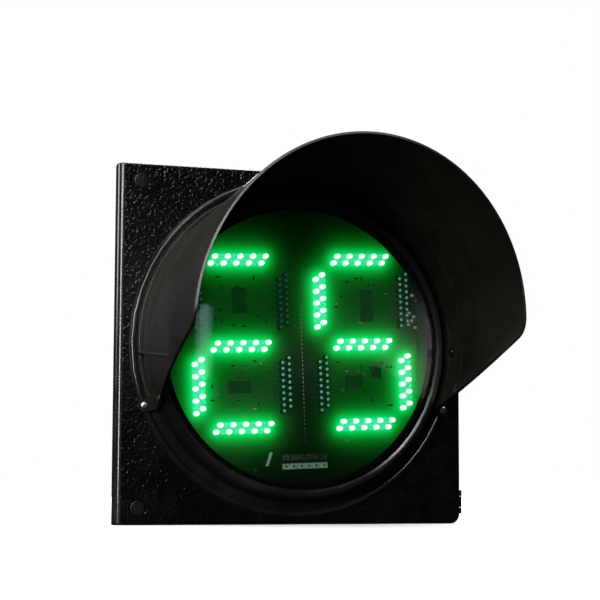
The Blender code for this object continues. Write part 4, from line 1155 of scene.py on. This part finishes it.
def make_equipment():
    """Slotted plate on the rear wall, and a six-way terminal block with its screws."""
    plate = Shape().push(rounded_rectangle(0.18, 0.09, 0.005, PLATE_DEPTH), (0, PLATE_THICK, 0))
    slot = rounded_rectangle(0.012, 0.0042, 0.0021, PLATE_DEPTH - 0.002)
    holes = Shape()
    for side in (-1, 1):
        x = side * PLATE_SCREW_X
        holes.rod(at(x, PLATE_DEPTH - 0.002, 0), at(x, PLATE_DEPTH + 0.004, 0), 0.0021)
        for i in range(7):
            step = Vector((-0.066 + 0.022 * i, 0, side * 0.03))
            holes.push([p + step for p in slot], (0, 0.006, 0))
    rounded(piece("slotted_plate", plate, "zinc", "housing", "plate_zinc", "equipment_plate",
                  cuts=[holes]), 0.0002)
    seat = PLATE_DEPTH - GAP
    outline = [(-0.011, 0.0), (0.011, 0.0), (0.011, -0.01), (0.006, -0.018), (-0.006, -0.018),
               (-0.011, -0.01)]
    strip = Shape().push([at(-0.0448, seat + y * 0.93, z * 0.9) for z, y in outline], (0.0896, 0, 0))
    wells, screws, slots = Shape(), Shape(), Shape()
    for x in (TERMINAL_START + TERMINAL_PITCH * i for i in range(6)):
        strip.push([at(x - 0.007, seat + y, z) for z, y in outline], (0.014, 0, 0))
        wells.rod(at(x, seat - 0.02, 0), at(x, seat - 0.01, 0), 0.0031, 32)
        for side in (-1, 1):
            wells.rod(at(x, seat - 0.005, side * 0.013), at(x, seat - 0.005, side * 0.004), 0.0024)
        screws.rod(at(x, seat - 0.0098, 0), at(x, seat - 0.0125, 0), 0.0027, 32)
        slots.block(at(x - 0.003, seat - 0.013, -0.0004), at(x + 0.003, seat - 0.0117, 0.0004))
    rounded(piece("terminal_strip", strip, "grey", "housing", "terminal_plastic", "terminal_block",
                  cuts=[wells]), 0.0002, 1)
    piece("terminal_screws", screws, "silver", "housing", "screw_steel", cuts=[slots])


# ------------ floor, light, camera
def make_stage():
    circle = bmesh.new()
    bmesh.ops.create_circle(circle, cap_ends=True, radius=40.0, segments=96)
    mesh = bpy.data.meshes.new("floor")
    circle.to_mesh(mesh)
    circle.free()
    floor = add("floor", mesh)
    look = Look("floor_paper", (0.93, 0.93, 0.93), 0.9, Specular_IOR_Level=0.0,
                Emission_Color=(1, 1, 1), Emission_Strength=0.2)
    look.set(Roughness=look.spread(look.noise(3), 0.85, 0.95))
    mesh.materials.append(look.mat)
    unseen_by_light(floor)


def softbox(name, place, target, width, height, power, colour=(1, 1, 1), roll=0):
    light = bpy.data.lights.new(name, "AREA")
    light.shape = "RECTANGLE"
    light.size, light.size_y = width, height
    light.energy = power
    light.color = colour
    obj = add(name, light)
    obj.location = place
    aim = (Vector(target) - Vector(place)).to_track_quat("-Z", "Y").to_matrix()
    obj.rotation_euler = (aim @ Matrix.Rotation(radians(roll), 3, "Z")).to_euler()
    obj.visible_camera = False


def make_light():
    """A world that only the camera sees as white, softboxes, and a wide sun overhead."""
    world = bpy.data.worlds.new("studio")
    bpy.context.scene.world = world
    world.use_nodes = True
    nodes, links = world.node_tree.nodes, world.node_tree.links
    background = nodes["Background"]
    background.inputs["Color"].default_value = (1, 1, 1, 1)
    path = nodes.new("ShaderNodeLightPath")
    level = nodes.new("ShaderNodeMapRange")
    level.inputs["To Min"].default_value = 0.015
    level.inputs["To Max"].default_value = 1.0
    links.new(path.outputs["Is Camera Ray"], level.inputs["Value"])
    links.new(level.outputs["Result"], background.inputs["Strength"])
    middle = at(0, 0, 0)
    softbox("front_key", (-0.65, -1.49, 0.94), at(-0.12, -0.2, 0.1), 1.15, 0.2, 18.0,
            (1.0, 0.98, 0.9), 48)
    softbox("front_strip", (-0.36, -1.6, 0.3), middle, 0.1, 0.6, 0.3, (0.5, 0.95, 0.9))
    softbox("left_strip", (-0.885, -0.88, 0.31), middle, 0.12, 0.6, 9.0)
    softbox("left_wall", (-2.2, 0.7, 0.9), middle, 1.0, 1.0, 30)
    softbox("back_right", (0.9, 1.9, 1.0), middle, 1.2, 1.0, 60)
    sun = bpy.data.lights.new("overhead", "SUN")
    sun.energy = 3.0
    sun.angle = radians(80)
    add("overhead", sun)


def make_camera():
    data = bpy.data.cameras.new("camera")
    data.sensor_width = 36.0
    data.lens = 101.53
    data.clip_start = 0.05
    camera = add("camera", data)
    yaw, pitch, roll = (radians(angle) for angle in (18.024, 5.992, -0.186))
    turn = Euler((pi / 2 + pitch, 0, -yaw)).to_matrix() @ Matrix.Rotation(-roll, 3, "Z")
    camera.matrix_world = Matrix.Translation((-0.52258, -1.66778, 0.04646)) @ turn.to_4x4()
    bpy.context.scene.camera = camera


for make in (make_camera, make_stage, make_light, make_door, make_lens, make_visor, make_screws,
             make_housing, make_caps, make_gland, make_pins, make_latches, make_clips, make_module,
             make_control, make_equipment, make_leds, make_board, make_board_parts):
    make()
bpy.context.scene.view_settings.view_transform = "Standard"
